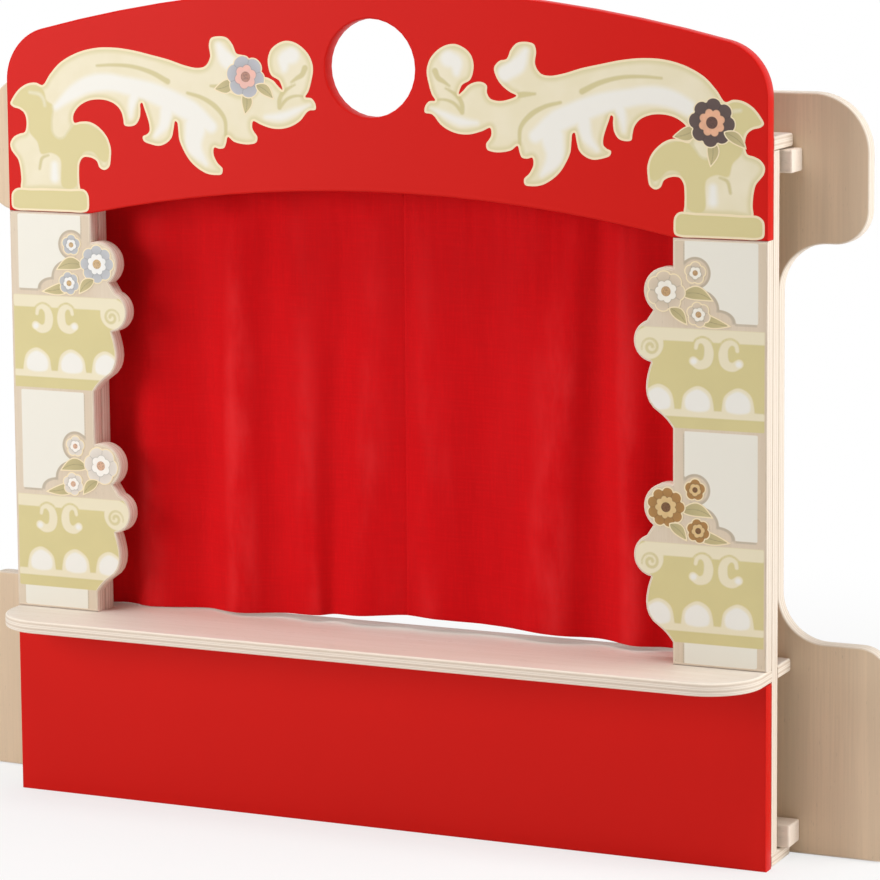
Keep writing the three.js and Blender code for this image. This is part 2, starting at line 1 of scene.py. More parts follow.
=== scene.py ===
"""Dresses the puppet theater stand: lacquer, plywood, printed ornaments, curtains and fastenings.

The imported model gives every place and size. Lengths are in metres, and in millimetres where a name or a
comment says so. Ornaments are drawn as lines in millimetres: outward from the middle, then up.
"""
import json
import math
import random
from functools import wraps

import bmesh
import bpy
import numpy as np
from bpy.props import FloatProperty, FloatVectorProperty, IntProperty, PointerProperty
from mathutils import Matrix, Vector, noise
from mathutils.geometry import delaunay_2d_cdt


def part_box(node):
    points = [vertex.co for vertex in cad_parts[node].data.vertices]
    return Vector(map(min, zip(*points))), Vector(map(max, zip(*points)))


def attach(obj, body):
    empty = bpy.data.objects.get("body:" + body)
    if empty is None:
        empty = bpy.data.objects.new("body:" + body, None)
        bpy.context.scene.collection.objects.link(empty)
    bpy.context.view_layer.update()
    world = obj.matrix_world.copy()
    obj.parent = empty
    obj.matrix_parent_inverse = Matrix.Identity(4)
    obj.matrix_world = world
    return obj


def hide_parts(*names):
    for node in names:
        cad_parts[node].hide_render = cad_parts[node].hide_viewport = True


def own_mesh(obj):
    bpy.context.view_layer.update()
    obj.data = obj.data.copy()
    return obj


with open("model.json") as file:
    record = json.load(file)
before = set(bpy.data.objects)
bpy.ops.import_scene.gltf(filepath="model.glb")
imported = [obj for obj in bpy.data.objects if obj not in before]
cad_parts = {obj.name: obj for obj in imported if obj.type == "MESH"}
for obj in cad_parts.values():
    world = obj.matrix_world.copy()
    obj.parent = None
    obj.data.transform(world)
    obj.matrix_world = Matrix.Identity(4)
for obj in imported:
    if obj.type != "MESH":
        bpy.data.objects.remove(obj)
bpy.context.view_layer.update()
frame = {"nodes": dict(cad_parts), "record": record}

bl_info = {
    "name": "Puppet Theater Stand",
    "version": (1, 0, 0),
    "blender": (4, 5, 0),
    "location": "3D View > Sidebar > Theater",
    "description": "Builds a plywood puppet theater stand with printed ornaments and red curtains",
    "category": "Object",
}

MM = 0.001
ALONG = Vector((1, 0, 0))
BACKWARD = Vector((0, 1, 0))
UPWARD = Vector((0, 0, 1))
FULL_TURN = 2 * math.pi
SIDES = {"left": -1, "right": 1}


def screen(red, green, blue):
    """A colour written as it shows on a screen, 0 to 255, as the shader's linear numbers."""
    shares = [part / 255 for part in (red, green, blue)]
    return tuple(s / 12.92 if s <= 0.04045 else ((s + 0.055) / 1.055) ** 2.4 for s in shares)


def size_setting(name, description, default, least=0.0):
    return FloatProperty(name=name, description=description, default=default, min=least, unit="LENGTH",
                         precision=4)


def colour_setting(name, description, default):
    return FloatVectorProperty(name=name, description=description, default=default, subtype="COLOR", size=3,
                               min=0, max=1)


class TheaterSizes(bpy.types.PropertyGroup):
    """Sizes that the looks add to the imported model."""

    board_rounding: size_setting("Board rounding", "Radius sanded on the outline of each board", 0.0015)
    flat_rounding: size_setting("Flat board rounding", "Radius sanded on the shelf and its like", 0.0024)
    wing_rounding: size_setting("Wing rounding", "Radius sanded on the outline of the wings", 0.0022)
    block_rounding: size_setting("Block rounding", "Radius sanded on the solid blocks", 0.0015)
    front_ply: size_setting("Front ply", "Thickness of one ply in the 15 mm boards", 0.015 / 7)
    flat_ply: size_setting("Flat ply", "Thickness of one ply in the 12 mm boards", 0.012 / 5)
    print_height: size_setting("Print height", "How far a printed ornament stands off its board", 0.00018)
    print_rim: size_setting("Print rim", "Bare wood left round a printed column", 0.0022)
    line_width: size_setting("Line width", "Cream line round an ornament", 0.0019)
    print_net: size_setting("Print net", "Spacing of the points that carry the inks", 0.0016, 0.0005)
    fold_depth: size_setting("Fold depth", "How far a curtain's deepest fold stands forward", 0.0068)
    cloth_thickness: size_setting("Cloth thickness", "Thickness of the curtain cloth", 0.0006)
    hem_height: size_setting("Hem height", "Height of the curtains' turned hem", 0.018)
    hem_clearance: size_setting("Hem clearance", "Gap between the shelf and a curtain's outer end", 0.0016)


class TheaterColours(bpy.types.PropertyGroup):
    """Colours of the lacquer, the inks, the woods and the cloth."""

    lacquer: colour_setting("Lacquer", "Satin lacquer on the header and the apron", screen(212, 26, 19))
    cloth: colour_setting("Cloth", "Curtain cloth", screen(211, 12, 19))
    # Lighter red for faint rubbing of the cloth, and for the painted highlight on the ridges of the curtain
    # folds.
    wear_and_highlight_cloth: colour_setting("Worn cloth", "Rubbed ridges of the curtain folds", screen(240, 60, 62))
    sheen: colour_setting("Sheen", "Soft light on the cloth's fluff", screen(255, 120, 110))
    zinc: colour_setting("Zinc", "Zinc plate of the screws, pins and washers", screen(196, 198, 200))
    bright_zinc: colour_setting("Bright zinc", "Lighter crystals in the zinc plate", screen(222, 222, 218))
    birch: colour_setting("Birch", "Face veneer of the front boards", screen(223, 208, 187))
    birch_streak: colour_setting("Birch streak", "Darker figure in the face veneer", screen(206, 184, 157))
    flat_birch: colour_setting("Flat birch", "Face veneer of the shelf and its like", screen(231, 222, 212))
    flat_streak: colour_setting("Flat streak", "Darker figure in the shelf's veneer", screen(215, 200, 184))
    wing_wood: colour_setting("Wing wood", "Face veneer of the wings", screen(229, 204, 174))
    pale_ply: colour_setting("Pale ply", "Plies cut along their grain, at an edge", screen(244, 234, 220))
    crossing_ply: colour_setting("Crossing ply", "Plies cut across their grain", screen(221, 203, 184))
    glue: colour_setting("Glue", "Glue lines between the plies", screen(150, 112, 82))
    beech: colour_setting("Beech", "Solid blocks, brackets, rod and dowels", screen(246, 232, 217))
    cream: colour_setting("Cream", "Cream ink of the ornaments", screen(236, 226, 198))
    line: colour_setting("Outline", "Warm cream line round the ornaments", screen(241, 224, 188))
    khaki: colour_setting("Khaki", "Gold-khaki ink of the ornaments", screen(215, 202, 146))
    ivory: colour_setting("Ivory", "Ivory fields on the columns", screen(236, 232, 220))
    highlight: colour_setting("Highlight", "Near-white ink of the highlights", screen(239, 236, 228))
    ink_shadow: colour_setting("Ink shadow", "Shade printed beside the ivory fields", screen(150, 140, 122))


class TheaterFasteners(bpy.types.PropertyGroup):
    """How the screws are set."""

    turn_seed: IntProperty(name="Turn seed", description="Seed for the turn of the screws", default=11)


def size(name):
    return getattr(bpy.context.scene.theater_sizes, name)


def colour(name):
    return tuple(getattr(bpy.context.scene.theater_colours, name))


# Shader nodes written as sums

class Wire:
    """One output socket of a node tree. Sums, products and the like add Math nodes."""

    def __init__(self, wiring, socket):
        self.wiring = wiring
        self.socket = socket

    def maths(self, operation, *others):
        return self.wiring.maths(operation, self, *others)

    def __add__(self, other):
        return self.maths("ADD", other)

    def __sub__(self, other):
        return self.maths("SUBTRACT", other)

    def __rsub__(self, other):
        return self.wiring.maths("SUBTRACT", other, self)

    def __mul__(self, other):
        return self.maths("MULTIPLY", other)

    def __truediv__(self, other):
        return self.maths("DIVIDE", other)

    def __rtruediv__(self, other):
        return self.wiring.maths("DIVIDE", other, self)

    def __mod__(self, other):
        return self.maths("FLOORED_MODULO", other)

    def __rmod__(self, other):
        return self.wiring.maths("FLOORED_MODULO", other, self)

    def __abs__(self):
        return self.maths("ABSOLUTE")

    __radd__ = __add__
    __rmul__ = __mul__

    def rising(self, low, high, foot=0.0, top=1.0):
        """The foot value up to low, the top value from high on, and smooth between them."""
        return self.wiring.node("ShaderNodeMapRange", {"interpolation_type": "SMOOTHSTEP"},
                                {0: self, 1: low, 2: high, 3: foot, 4: top})

    def falling(self, low, high):
        """1 up to low, 0 from high on, and smooth between them."""
        return 1 - self.rising(low, high)


class Wiring:
    """A node tree and the one method that adds its nodes."""

    def __init__(self, tree):
        self.tree = tree
        tree.nodes.clear()

    def node(self, kind, settings=None, values=None, output=0):
        """Adds a node: its settings first, then its sockets' values or wires. Gives back an output's wire."""
        made = self.tree.nodes.new(kind)
        for name, value in (settings or {}).items():
            setattr(made, name, value)
        for name, value in (values or {}).items():
            self.connect(made.inputs[name], value)
        return Wire(self, made.outputs[output]) if made.outputs else None

    def maths(self, operation, *values):
        return self.node("ShaderNodeMath", {"operation": operation}, dict(enumerate(values)))

    def connect(self, socket, value):
        if isinstance(value, list):
            for one in value:
                self.connect(socket, one)
        elif isinstance(value, Wire):
            self.tree.links.new(value.socket, socket)
        elif socket.type == "RGBA":
            socket.default_value = (*value[:3], 1)
        else:
            socket.default_value = value


class Finish(Wiring):
    """A material with a Principled surface, and the nodes that feed it."""

    def __init__(self, name, specular=0.35, others=None):
        self.material = bpy.data.materials.new(name)
        self.material.use_nodes = True
        super().__init__(self.material.node_tree)
        values = {"Specular IOR Level": specular, **(others or {})}
        shown = self.node("ShaderNodeBsdfPrincipled", values=values)
        self.node("ShaderNodeOutputMaterial", values={0: shown})
        self.surface = shown.socket.node

    def surfaced(self, tone, roughness, height, depth, strength):
        """Feeds the surface its colour, roughness and bump, and gives back the material."""
        bump = self.node("ShaderNodeBump", values={"Height": height, "Distance": depth, "Strength": strength})
        for name, value in {"Base Color": tone, "Roughness": roughness, "Normal": bump}.items():
            self.connect(self.surface.inputs[name], value)
        return self.material

    def number(self, name):
        """A number kept on each point of the piece."""
        return self.node("ShaderNodeAttribute", {"attribute_name": name}, output="Fac")

    def stretched(self, place, stretch):
        return self.node("ShaderNodeVectorMath", {"operation": "MULTIPLY"}, {0: place, 1: stretch})

    def board_place(self, stretch=(1, 1, 1)):
        """A point's place in its board: across the grain, through the board and along the grain."""
        kept = self.node("ShaderNodeAttribute", {"attribute_name": "board"}, output="Vector")
        return self.stretched(kept, stretch)

    def part_of(self, place, axis):
        return self.node("ShaderNodeSeparateXYZ", values={0: place}, output=axis)

    def noise_at(self, place, scale, detail, roughness=0.5):
        return self.node("ShaderNodeTexNoise", values={
            "Vector": place, "Scale": scale, "Detail": detail, "Roughness": roughness})

    def board_noise(self, stretch, scale, detail, roughness=0.5):
        return self.noise_at(self.board_place(stretch), scale, detail, roughness)

    def noise(self, scale, detail, roughness=0.5, stretch=(1, 1, 1)):
        """Noise by the place on the piece, which may be stretched."""
        place = self.stretched(self.node("ShaderNodeTexCoord", output="Object"), stretch)
        return self.noise_at(place, scale, detail, roughness)

    def mixed(self, share, first, second):
        """The second colour over the first one, by a share of 0 to 1."""
        return self.node("ShaderNodeMix", {"data_type": "RGBA"}, {0: share, 6: first, 7: second}, output=2)

    def printed(self, ground, inks):
        """Lays inks over a ground, each inside the line where its kept number crosses from low to high."""
        for field, low, high, share, ink in inks:
            if isinstance(field, str):
                field = self.number(field)
            ground = self.mixed(field.falling(low, high) * share, ground, ink)
        return ground


def shared(make):
    """Makes a finish once for all its pieces, and anew when a size or a colour has changed."""
    made = {}

    @wraps(make)
    def finish_for(*settings):
        sizes = tuple(size(name) for name in TheaterSizes.__annotations__)
        colours = tuple(colour(name) for name in TheaterColours.__annotations__)
        now = (settings, sizes, colours)
        if now not in made:
            made[now] = make(*settings)
        return made[now]

    return finish_for


def tuned(tone, factor):
    """A colour made lighter or darker."""
    return tuple(min(part * factor, 1) for part in tone)


# Woods

def veneer_colour(finish, light, dark, fibre_share, figure_share, band_share=0.0):
    """Fine fibres, wide tone bands, a soft figure and short flecks along the grain."""
    fibres = finish.board_noise((1, 1, 0.02), 520.0, 3.0, 0.6)
    figure = finish.board_noise((1, 1, 0.1), 26.0, 3.0, 0.55)
    clouds = finish.board_noise((1, 1, 0.45), 9.0, 2.0)
    flecks = finish.board_noise((1, 1, 0.2), 620.0, 1.0)
    share = fibres.rising(0.3, 0.75) * fibre_share + figure.rising(0.35, 0.7) * figure_share
    base = finish.mixed(share, light, dark)
    if band_share:
        bands = finish.board_noise((1, 1, 0.02), 52.0, 1.0)
        base = finish.mixed(bands.rising(0.43, 0.57) * band_share, base, dark)
    shaded = finish.mixed(clouds.rising(0.35, 0.75) * 0.35, base, tuned(dark, 1.04))
    flecked = finish.mixed(flecks.rising(0.66, 0.78) * 0.35, shaded, tuned(dark, 0.72))
    return flecked, fibres


@shared
def veneer(name, light, dark, fibre_share, figure_share, band_share):
    finish = Finish(name)
    tone, fibres = veneer_colour(finish, light, dark, fibre_share, figure_share, band_share)
    return finish.surfaced(tone, fibres * 0.12 + 0.46, fibres, 0.00006, 0.5)


def birch_face():
    return veneer("birch_veneer", colour("birch"), colour("birch_streak"), 0.34, 0.4, 0.0)


def flat_face():
    return veneer("flat_birch_veneer", colour("flat_birch"), colour("flat_streak"), 0.3, 0.4, 0.1)


def wing_face():
    return veneer("wing_veneer", colour("wing_wood"), tuned(colour("wing_wood"), 0.78), 0.42, 0.32, 0.42)


PLY_WANDER = 0.00045


def ply_share(finish, ply):
    """How strongly a point of a board's edge shows the darker, crossing plies, and its glue lines."""
    wander = finish.board_noise((1, 1, 1), 60.0, 2.0)
    layer = (finish.part_of(finish.board_place(), "Y") + (wander - 0.5) * PLY_WANDER) / ply
    crossing = abs(layer % 2 - 1).rising(0.35, 0.65)
    seam = abs(layer % 1 - 0.5).rising(0.4, 0.49)
    return crossing, seam


@shared
def ply_edge(name):
    """The bare edge of a plywood board, its plies in turn along and across the grain."""
    finish = Finish(name + "_edge", 0.3)
    dark = colour("crossing_ply")
    crossing, seam = ply_share(finish, size(name))
    pores = finish.board_noise((1, 0.45, 1), 1500.0, 1.0)
    streaks = finish.board_noise((0.12, 1, 0.12), 900.0, 2.0)
    plain = finish.mixed(streaks * 0.3, colour("pale_ply"), dark)
    crossed = finish.mixed(pores.rising(0.3, 0.7) * 0.35, dark, tuned(dark, 0.78))
    plies = finish.mixed(crossing * 0.7, plain, crossed)
    glued = finish.mixed(seam * 0.5, plies, colour("glue"))
    return finish.surfaced(glued, crossing * 0.14 + 0.52, crossing * 0.7 + pores * 0.5, 0.00012, 0.6)


@shared
def beech():
    """Planed solid beech: straight grain along X, with its short dark flecks."""
    finish = Finish("planed_beech")
    light = colour("beech")
    fibres = finish.noise(800.0, 3.0, 0.6, stretch=(0.03, 1, 1))
    rings = finish.noise(130.0, 2.0, stretch=(0.05, 1, 1))
    flecks = finish.noise(560.0, 1.0, stretch=(0.22, 1, 1))
    share = fibres.rising(0.3, 0.75) * 0.35 + rings.rising(0.35, 0.7) * 0.35
    grain = finish.mixed(share, light, tuned(light, 0.86))
    flecked = finish.mixed(flecks.rising(0.62, 0.74) * 0.25, grain, tuned(light, 0.55))
    return finish.surfaced(flecked, fibres * 0.14 + 0.48, fibres, 0.00008, 0.5)


# Lacquer, inks, steel and cloth

@shared
def lacquer(name, is_edge):
    """Satin lacquer. The veneer's fibres, and the plies of an edge, show faintly through it."""
    finish = Finish(name, 0.09)
    red = colour("lacquer")
    fibres = finish.board_noise((1, 1, 0.03), 700.0, 2.0)
    skin = finish.noise(420.0, 2.0)
    clouds = finish.noise(6.0, 2.0)
    height = fibres * 0.4 + skin * 0.6
    tone = finish.mixed(clouds.rising(0.3, 0.7) * 0.22, red, tuned(red, 0.9))
    if is_edge:
        crossing, seam = ply_share(finish, size("front_ply"))
        height = height + crossing * 0.8 - seam * 0.6
        tone = finish.mixed(seam * 0.25, tone, tuned(red, 0.6))
    return finish.surfaced(tone, skin * 0.1 + 0.36, height, 0.00007, 0.45)


@shared
def ornament_ink(name):
    """Flat inks of a scroll: a cream line all round, a khaki shade inside it, strokes and highlights."""
    finish = Finish(name)
    khaki = colour("khaki")
    width = size("line_width") / MM
    mottle = finish.noise(40.0, 3.0)
    ground = finish.mixed(mottle.rising(0.3, 0.7) * 0.18, colour("cream"), khaki)
    tone = finish.printed(ground, (
        ("rim", width + 0.4, width + 5.2, 0.6, tuned(khaki, 0.97)),
        ("khaki", -1.2, 1.2, 0.95, khaki),
        ("stroke", -1.0, 1.1, 0.85, tuned(khaki, 0.9)),
        ("white", -4.5, 2.2, 1, colour("highlight")),
        ("rim", width - 0.25, width + 0.45, 1, colour("line")),
    ))
    skin = finish.noise(500.0, 2.0)
    return finish.surfaced(tone, skin * 0.1 + 0.42, skin, 0.00005, 0.4)


@shared
def column_ink():
    """A column's face: bare veneer with ivory fields and two printed balconies inside a bare rim with a
    painted highlight.
    """
    finish = Finish("column_print")
    birch = colour("birch")
    khaki = colour("khaki")
    width = size("print_rim") / MM
    wood, fibres = veneer_colour(finish, birch, colour("birch_streak"), 0.22, 0.35)
    mottle = finish.noise(30.0, 3.0)
    tone = finish.printed(wood, (
        ("shadow", -0.8, 0.9, 0.5, colour("ink_shadow")),
        ("ivory", -0.4, 0.4, 1, colour("ivory")),
        ("khaki", -0.5, 0.5, 1, finish.mixed(mottle.rising(0.3, 0.7) * 0.25, khaki, tuned(khaki, 0.88))),
        ("cream", -0.9, 0.9, 0.92, colour("cream")),
        ("stroke", -0.8, 0.8, 0.8, tuned(khaki, 0.94)),
        ("white", -2.0, 1.0, 1, colour("highlight")),
        # The rim is the veneer made a tenth lighter: a painted highlight for the light on the rounded edge.
        ("rim", width - 0.4, width + 0.4, 1, tuned(birch, 1.1)),
    ))
    return finish.surfaced(tone, fibres * 0.1 + 0.42, fibres, 0.00005, 0.4)


LEAF_INK = screen(205, 190, 140)
FLOWER_INKS = {
    "grey_petals": (screen(196, 197, 200), screen(240, 238, 234), screen(205, 170, 120)),
    "blush_petals": (screen(236, 226, 214), screen(247, 242, 234), screen(214, 170, 140)),
    "sand_petals": (screen(226, 208, 184), screen(243, 238, 226), screen(196, 158, 112)),
    "amber_petals": (screen(178, 132, 74), screen(222, 190, 136), screen(120, 84, 52)),
    "dusk_petals": (screen(92, 74, 70), screen(232, 176, 142), screen(96, 66, 56)),
    "rose_petals": (screen(190, 190, 196), screen(236, 184, 170), screen(180, 130, 110)),
    "leaf_print": (LEAF_INK, LEAF_INK, LEAF_INK),
}


@shared
def flower_ink(name):
    """A flower in flat inks: petals shaded to their foot, an inner ring of petals and a dotted heart."""
    finish = Finish(name)
    petal, inner, heart = FLOWER_INKS[name]
    mottle = finish.noise(160.0, 2.0)
    dots = finish.noise(900.0, 0.0).rising(0.55, 0.62)
    core = finish.mixed(dots * 0.6, heart, tuned(heart, 0.55))
    outer = finish.mixed(finish.number("reach") * 0.9, tuned(petal, 0.72), petal)
    tone = finish.printed(outer, (
        ("seam", 0.1, 0.7, 0.75, tuned(petal, 0.5)),
        ("inner", -0.3, 0.3, 1, inner),
        (abs(finish.number("inner")), 0.15, 0.7, 0.6, tuned(petal, 0.5)),
        ("heart", -0.25, 0.25, 1, core),
    ))
    toned = finish.mixed(mottle.rising(0.4, 0.7) * 0.12, tone, tuned(petal, 0.8))
    lined = finish.printed(toned, [("rim", 0.9, 1.3, 1, colour("line"))])
    return finish.surfaced(lined, mottle * 0.08 + 0.42, mottle, 0.00005, 0.4)


@shared
def zinc_steel():
    """Bright zinc plate with faint turning marks."""
    finish = Finish("zinc_steel", 0.5, {"Metallic": 1.0})
    spangle = finish.noise(700.0, 3.0)
    marks = finish.noise(2600.0, 1.0, stretch=(1, 1, 0.2))
    tone = finish.mixed(spangle.rising(0.35, 0.7), colour("zinc"), colour("bright_zinc"))
    return finish.surfaced(tone, spangle * 0.18 + 0.2, marks, 0.00002, 0.3)


THREAD_PITCH = 0.0009


@shared
def curtain_cloth():
    """Plain woven cotton: warp and weft by the cloth's own map, slubs, faint mottled rubbing all over down to
    the hem, and a mottled painted highlight in lighter red on the ridges of the folds.
    """
    finish = Finish("curtain_cloth", 0.08, {
        "Sheen Weight": 0.03, "Sheen Roughness": 0.5, "Sheen Tint": colour("sheen")})
    cloth = colour("cloth")
    weave_map = finish.node("ShaderNodeTexCoord", output="UV")

    def threads_of(axis):
        return (finish.part_of(weave_map, axis) * (FULL_TURN / THREAD_PITCH)).maths("SINE")

    def cloth_noise(stretch, *settings):
        return finish.noise_at(finish.stretched(weave_map, stretch), *settings)

    threads = cloth_noise((1, 0.06, 1), 520.0, 2.0) * 0.5 + cloth_noise((0.06, 1, 1), 520.0, 2.0) * 0.5
    clouds = cloth_noise((1, 0.35, 1), 22.0, 3.0)
    wear_and_highlight_mottle = cloth_noise((1, 0.32, 1), 13.0, 5.0, 0.62)
    clouded = finish.mixed(clouds.rising(0.3, 0.72) * 0.3, cloth, tuned(cloth, 0.82))
    # How far the cloth stands forward: the fold ridges get the painted highlight.
    ridge = finish.number("ridge").rising(0.1, 0.9)
    # Mottled lighter red: faint rubbing everywhere, and much more on the fold ridges as a painted highlight.
    wear_and_ridge_highlight = finish.mixed(wear_and_highlight_mottle.rising(0.4, 0.66) * (ridge * 0.4 + 0.05), clouded, colour("wear_and_highlight_cloth"))
    tone = finish.mixed(threads.rising(0.42, 0.66) * 0.3, wear_and_ridge_highlight, tuned(cloth, 1.22))
    height = threads_of("X") * threads_of("Y") * 0.35 + threads
    return finish.surfaced(tone, threads * 0.12 + 0.74, height, 0.00022, 0.55)


# Pieces and where they go

WELD_GAP = 0.00001
FLAT_ANGLE = math.radians(0.5)
SANDED_ANGLE = math.radians(35)
SMOOTH_ANGLE = math.radians(32)
SANDED_HOLE = 0.02
WIDE_ROUNDING = 0.002
FACE_SLOPE = 0.95
FLAT_SLOPE = 0.99
VENEER_DRIFT = 0.37


def linked(name, data):
    """A new object in the scene."""
    piece = bpy.data.objects.new(name, data)
    bpy.context.scene.collection.objects.link(piece)
    return piece


def finished(name, mesh, body, replaced, materials):
    """Puts a finished mesh in the scene as a piece on its body, in place of its CAD nodes."""
    piece = linked(name, mesh)
    if not mesh.materials:
        for material in materials:
            mesh.materials.append(material)
    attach(piece, body)
    if replaced:
        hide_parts(*replaced)
    return piece


def as_mesh(form, name):
    mesh = bpy.data.meshes.new(name)
    form.to_mesh(mesh)
    form.free()
    return mesh


def applied(piece):
    """The piece's mesh with its modifiers made real."""
    graph = bpy.context.evaluated_depsgraph_get()
    mesh = bpy.data.meshes.new_from_object(piece.evaluated_get(graph), preserve_all_data_layers=True,
                                           depsgraph=graph)
    piece.modifiers.clear()
    return mesh


def keep_numbers(mesh, fields):
    """Keeps a number on each point of a mesh, under each field's name."""
    for name, values in fields.items():
        kept = mesh.attributes.new(name, "FLOAT", "POINT")
        kept.data.foreach_set("value", np.asarray(values, np.float32))


def keep_places(mesh, name, places):
    kept = mesh.attributes.new(name, "FLOAT_VECTOR", "POINT")
    kept.data.foreach_set("vector", np.asarray(places, np.float32).ravel())


def corners(mesh):
    places = np.empty(len(mesh.vertices) * 3, np.float32)
    mesh.vertices.foreach_get("co", places)
    return places.reshape(-1, 3)


def middle_of(node):
    low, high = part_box(node)
    return (low + high) / 2


def half_size(node):
    low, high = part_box(node)
    return (high - low) / 2


def whole_form(node):
    """A CAD node's mesh, its doubles merged and its flat faces made whole."""
    form = bmesh.new()
    form.from_mesh(frame["nodes"][node].data)
    bmesh.ops.remove_doubles(form, verts=form.verts, dist=WELD_GAP)
    bmesh.ops.dissolve_limit(form, angle_limit=FLAT_ANGLE, verts=form.verts, edges=form.edges)
    return form


def outline_edges(form, chosen, least):
    """The sharp edges that a maker sands, without the rims of holes smaller than the least width."""
    sharp = {edge for edge in form.edges if len(edge.link_faces) == 2 and chosen(edge)
             and edge.calc_face_angle() > SANDED_ANGLE}
    kept = []
    while sharp:
        group = []
        front = [sharp.pop()]
        while front:
            edge = front.pop()
            group.append(edge)
            touching = {near for end in edge.verts for near in end.link_edges} & sharp
            sharp -= touching
            front.extend(touching)
        places = np.array([end.co for edge in group for end in edge.verts])
        if (places.max(0) - places.min(0)).max() > least:
            kept.extend(group)
    return kept


def rounded(form, edges, radius):
    bmesh.ops.bevel(form, geom=edges, offset=radius, segments=2 if radius < WIDE_ROUNDING else 4, profile=0.5,
                    affect="EDGES", clamp_overlap=False)


def shade_form(form, is_flat):
    """Curved walls and rounded edges shade smoothly, and flat faces stay flat."""
    for face in form.faces:
        face.smooth = not is_flat(face)
    for edge in form.edges:
        edge.smooth = len(edge.link_faces) != 2 or edge.calc_face_angle() < SMOOTH_ANGLE


def board(node, body, face, edge, through, grain, shift, rounding="board_rounding", inks=None):
    """One plywood board: rounded outline, face and edge finishes, and its own place in the veneer."""
    form = whole_form(node)
    through = through.normalized()

    def is_face(one):
        return abs(one.normal.dot(through)) > FACE_SLOPE

    edges = outline_edges(form, lambda one: any(is_face(near) for near in one.link_faces), SANDED_HOLE)
    rounded(form, edges, size(rounding))
    net = finely_faced(form, size("print_net") / MM) if inks else []
    for one in form.faces:
        one.material_index = 0 if is_face(one) else 1
    for one in net:
        one.material_index = 2
    shade_form(form, is_face)
    mesh = as_mesh(form, node + "_board")
    places = corners(mesh)
    across = places @ np.array(grain.cross(through))
    depth = places @ np.array(through)
    along = places @ np.array(grain)
    places = [across + shift, depth - depth.min(), along + shift * VENEER_DRIFT]
    keep_places(mesh, "board", np.stack(places, 1))
    materials = [face, edge]
    if inks:
        keep_numbers(mesh, inks(front_points(mesh)))
        materials.append(column_ink())
    return finished(node + "_board", mesh, body, [node], materials)


# Lines, fields and nets of the prints, all in millimetres

def front_points(mesh):
    """Each point's place on the front: along X and up."""
    return corners(mesh)[:, [0, 2]].astype(float) / MM


def flowing(points, closed=False, step=1.1):
    """A smooth line through the points, with a point about every step."""
    control = np.array(points, float)
    if closed:
        control = np.vstack([control[-1], control, control[:2]])
    else:
        control = np.vstack([2 * control[0] - control[1], control, 2 * control[-1] - control[-2]])
    made = []
    for four in zip(control, control[1:], control[2:], control[3:]):
        knots = np.cumsum([0, *(np.linalg.norm(end - start) ** 0.5 for start, end in zip(four, four[1:]))])
        count = max(1, math.ceil(np.linalg.norm(four[2] - four[1]) / step))
        at = np.linspace(knots[1], knots[2], count, endpoint=False)[:, None]
        blended = four
        for spans in (((0, 1), (1, 2), (2, 3)), ((0, 2), (1, 3)), ((1, 2),)):
            shares = [(at - knots[low]) / (knots[high] - knots[low]) for low, high in spans]
            blended = [one * (1 - share) + other * share
                       for share, one, other in zip(shares, blended, blended[1:])]
        made.append(blended[0])
    if not closed:
        made.append(control[-2][None])
    return np.vstack(made)


def closest(points, line):
    """For each point, its distance to each stretch of a line and how far along the stretch that is."""
    start = line[:-1]
    along = line[1:] - start
    offset = points[:, None] - start
    share = np.clip((offset * along).sum(2) / np.maximum((along ** 2).sum(1), 1e-12), 0, 1)
    gap = offset - share[..., None] * along
    return np.hypot(gap[..., 0], gap[..., 1]), share


def from_line(points, line):
    return closest(points, line)[0].min(1)


def is_inside(points, ring):
    x, z = points.T
    crossed = np.zeros(len(points), bool)
    for (ax, az), (bx, bz) in zip(ring, np.roll(ring, -1, 0)):
        if az != bz:
            crossed ^= ((az > z) != (bz > z)) & (x < (bx - ax) * (z - az) / (bz - az) + ax)
    return crossed


def area_field(points, ring):
    """Distance to a closed line, negative inside it."""
    gap = from_line(points, np.vstack([ring, ring[:1]]))
    return np.where(is_inside(points, ring), -gap, gap)


def stroke_field(points, line, widths):
    """Distance to a brush stroke whose half width changes along it, negative inside it."""
    lengths = np.concatenate([[0], np.cumsum(np.linalg.norm(np.diff(line, axis=0), axis=1))])
    half = np.interp(lengths, np.linspace(0, lengths[-1], len(widths)), widths)
    gap, share = closest(points, line)
    return (gap - half[:-1] - share * np.diff(half)).min(1)


def oval_field(points, centre, across, up):
    offset = (points - np.array(centre)) / (across, up)
    return (np.linalg.norm(offset, axis=1) - 1) * min(across, up)


def box_field(points, low, high):
    middle = (np.array(low) + high) / 2
    reach = np.abs(points - middle) - (np.array(high) - middle)
    return np.linalg.norm(np.maximum(reach, 0), axis=1) + np.minimum(reach.max(1), 0)


def union(*fields):
    return np.minimum.reduce(fields)


NET_ROW = 0.866
NET_MARGIN = 0.55
RIM_STEP = 0.003
FACE_DEPTH = 0.0001
OUTER_EDGE = 374.5


def fine_net(ring, spacing):
    """Points and triangles that fill a ring: the ring's own points first, then an even net."""
    low = ring.min(0)
    high = ring.max(0)
    lines = []
    for index, row in enumerate(np.arange(low[1] + spacing / 2, high[1], spacing * NET_ROW)):
        places = np.arange(low[0] + (index % 2) * spacing / 2, high[0], spacing)
        lines.append(np.stack([places, np.full(len(places), row)], 1))
    inner = np.vstack(lines)
    inner = inner[area_field(inner, ring) < -NET_MARGIN * spacing]
    given = [Vector(point) for point in np.vstack([ring, inner])]
    points, _, triangles, sources, _, _ = delaunay_2d_cdt(given, [], [list(range(len(ring)))], 1, 1e-6)
    return [tuple(point) for point in points], triangles, [min(source, default=-1) for source in sources]


def counter_clockwise(ring):
    x, z = ring.T
    turned = (x * np.roll(z, -1) - np.roll(x, -1) * z).sum()
    return ring if turned > 0 else ring[::-1]


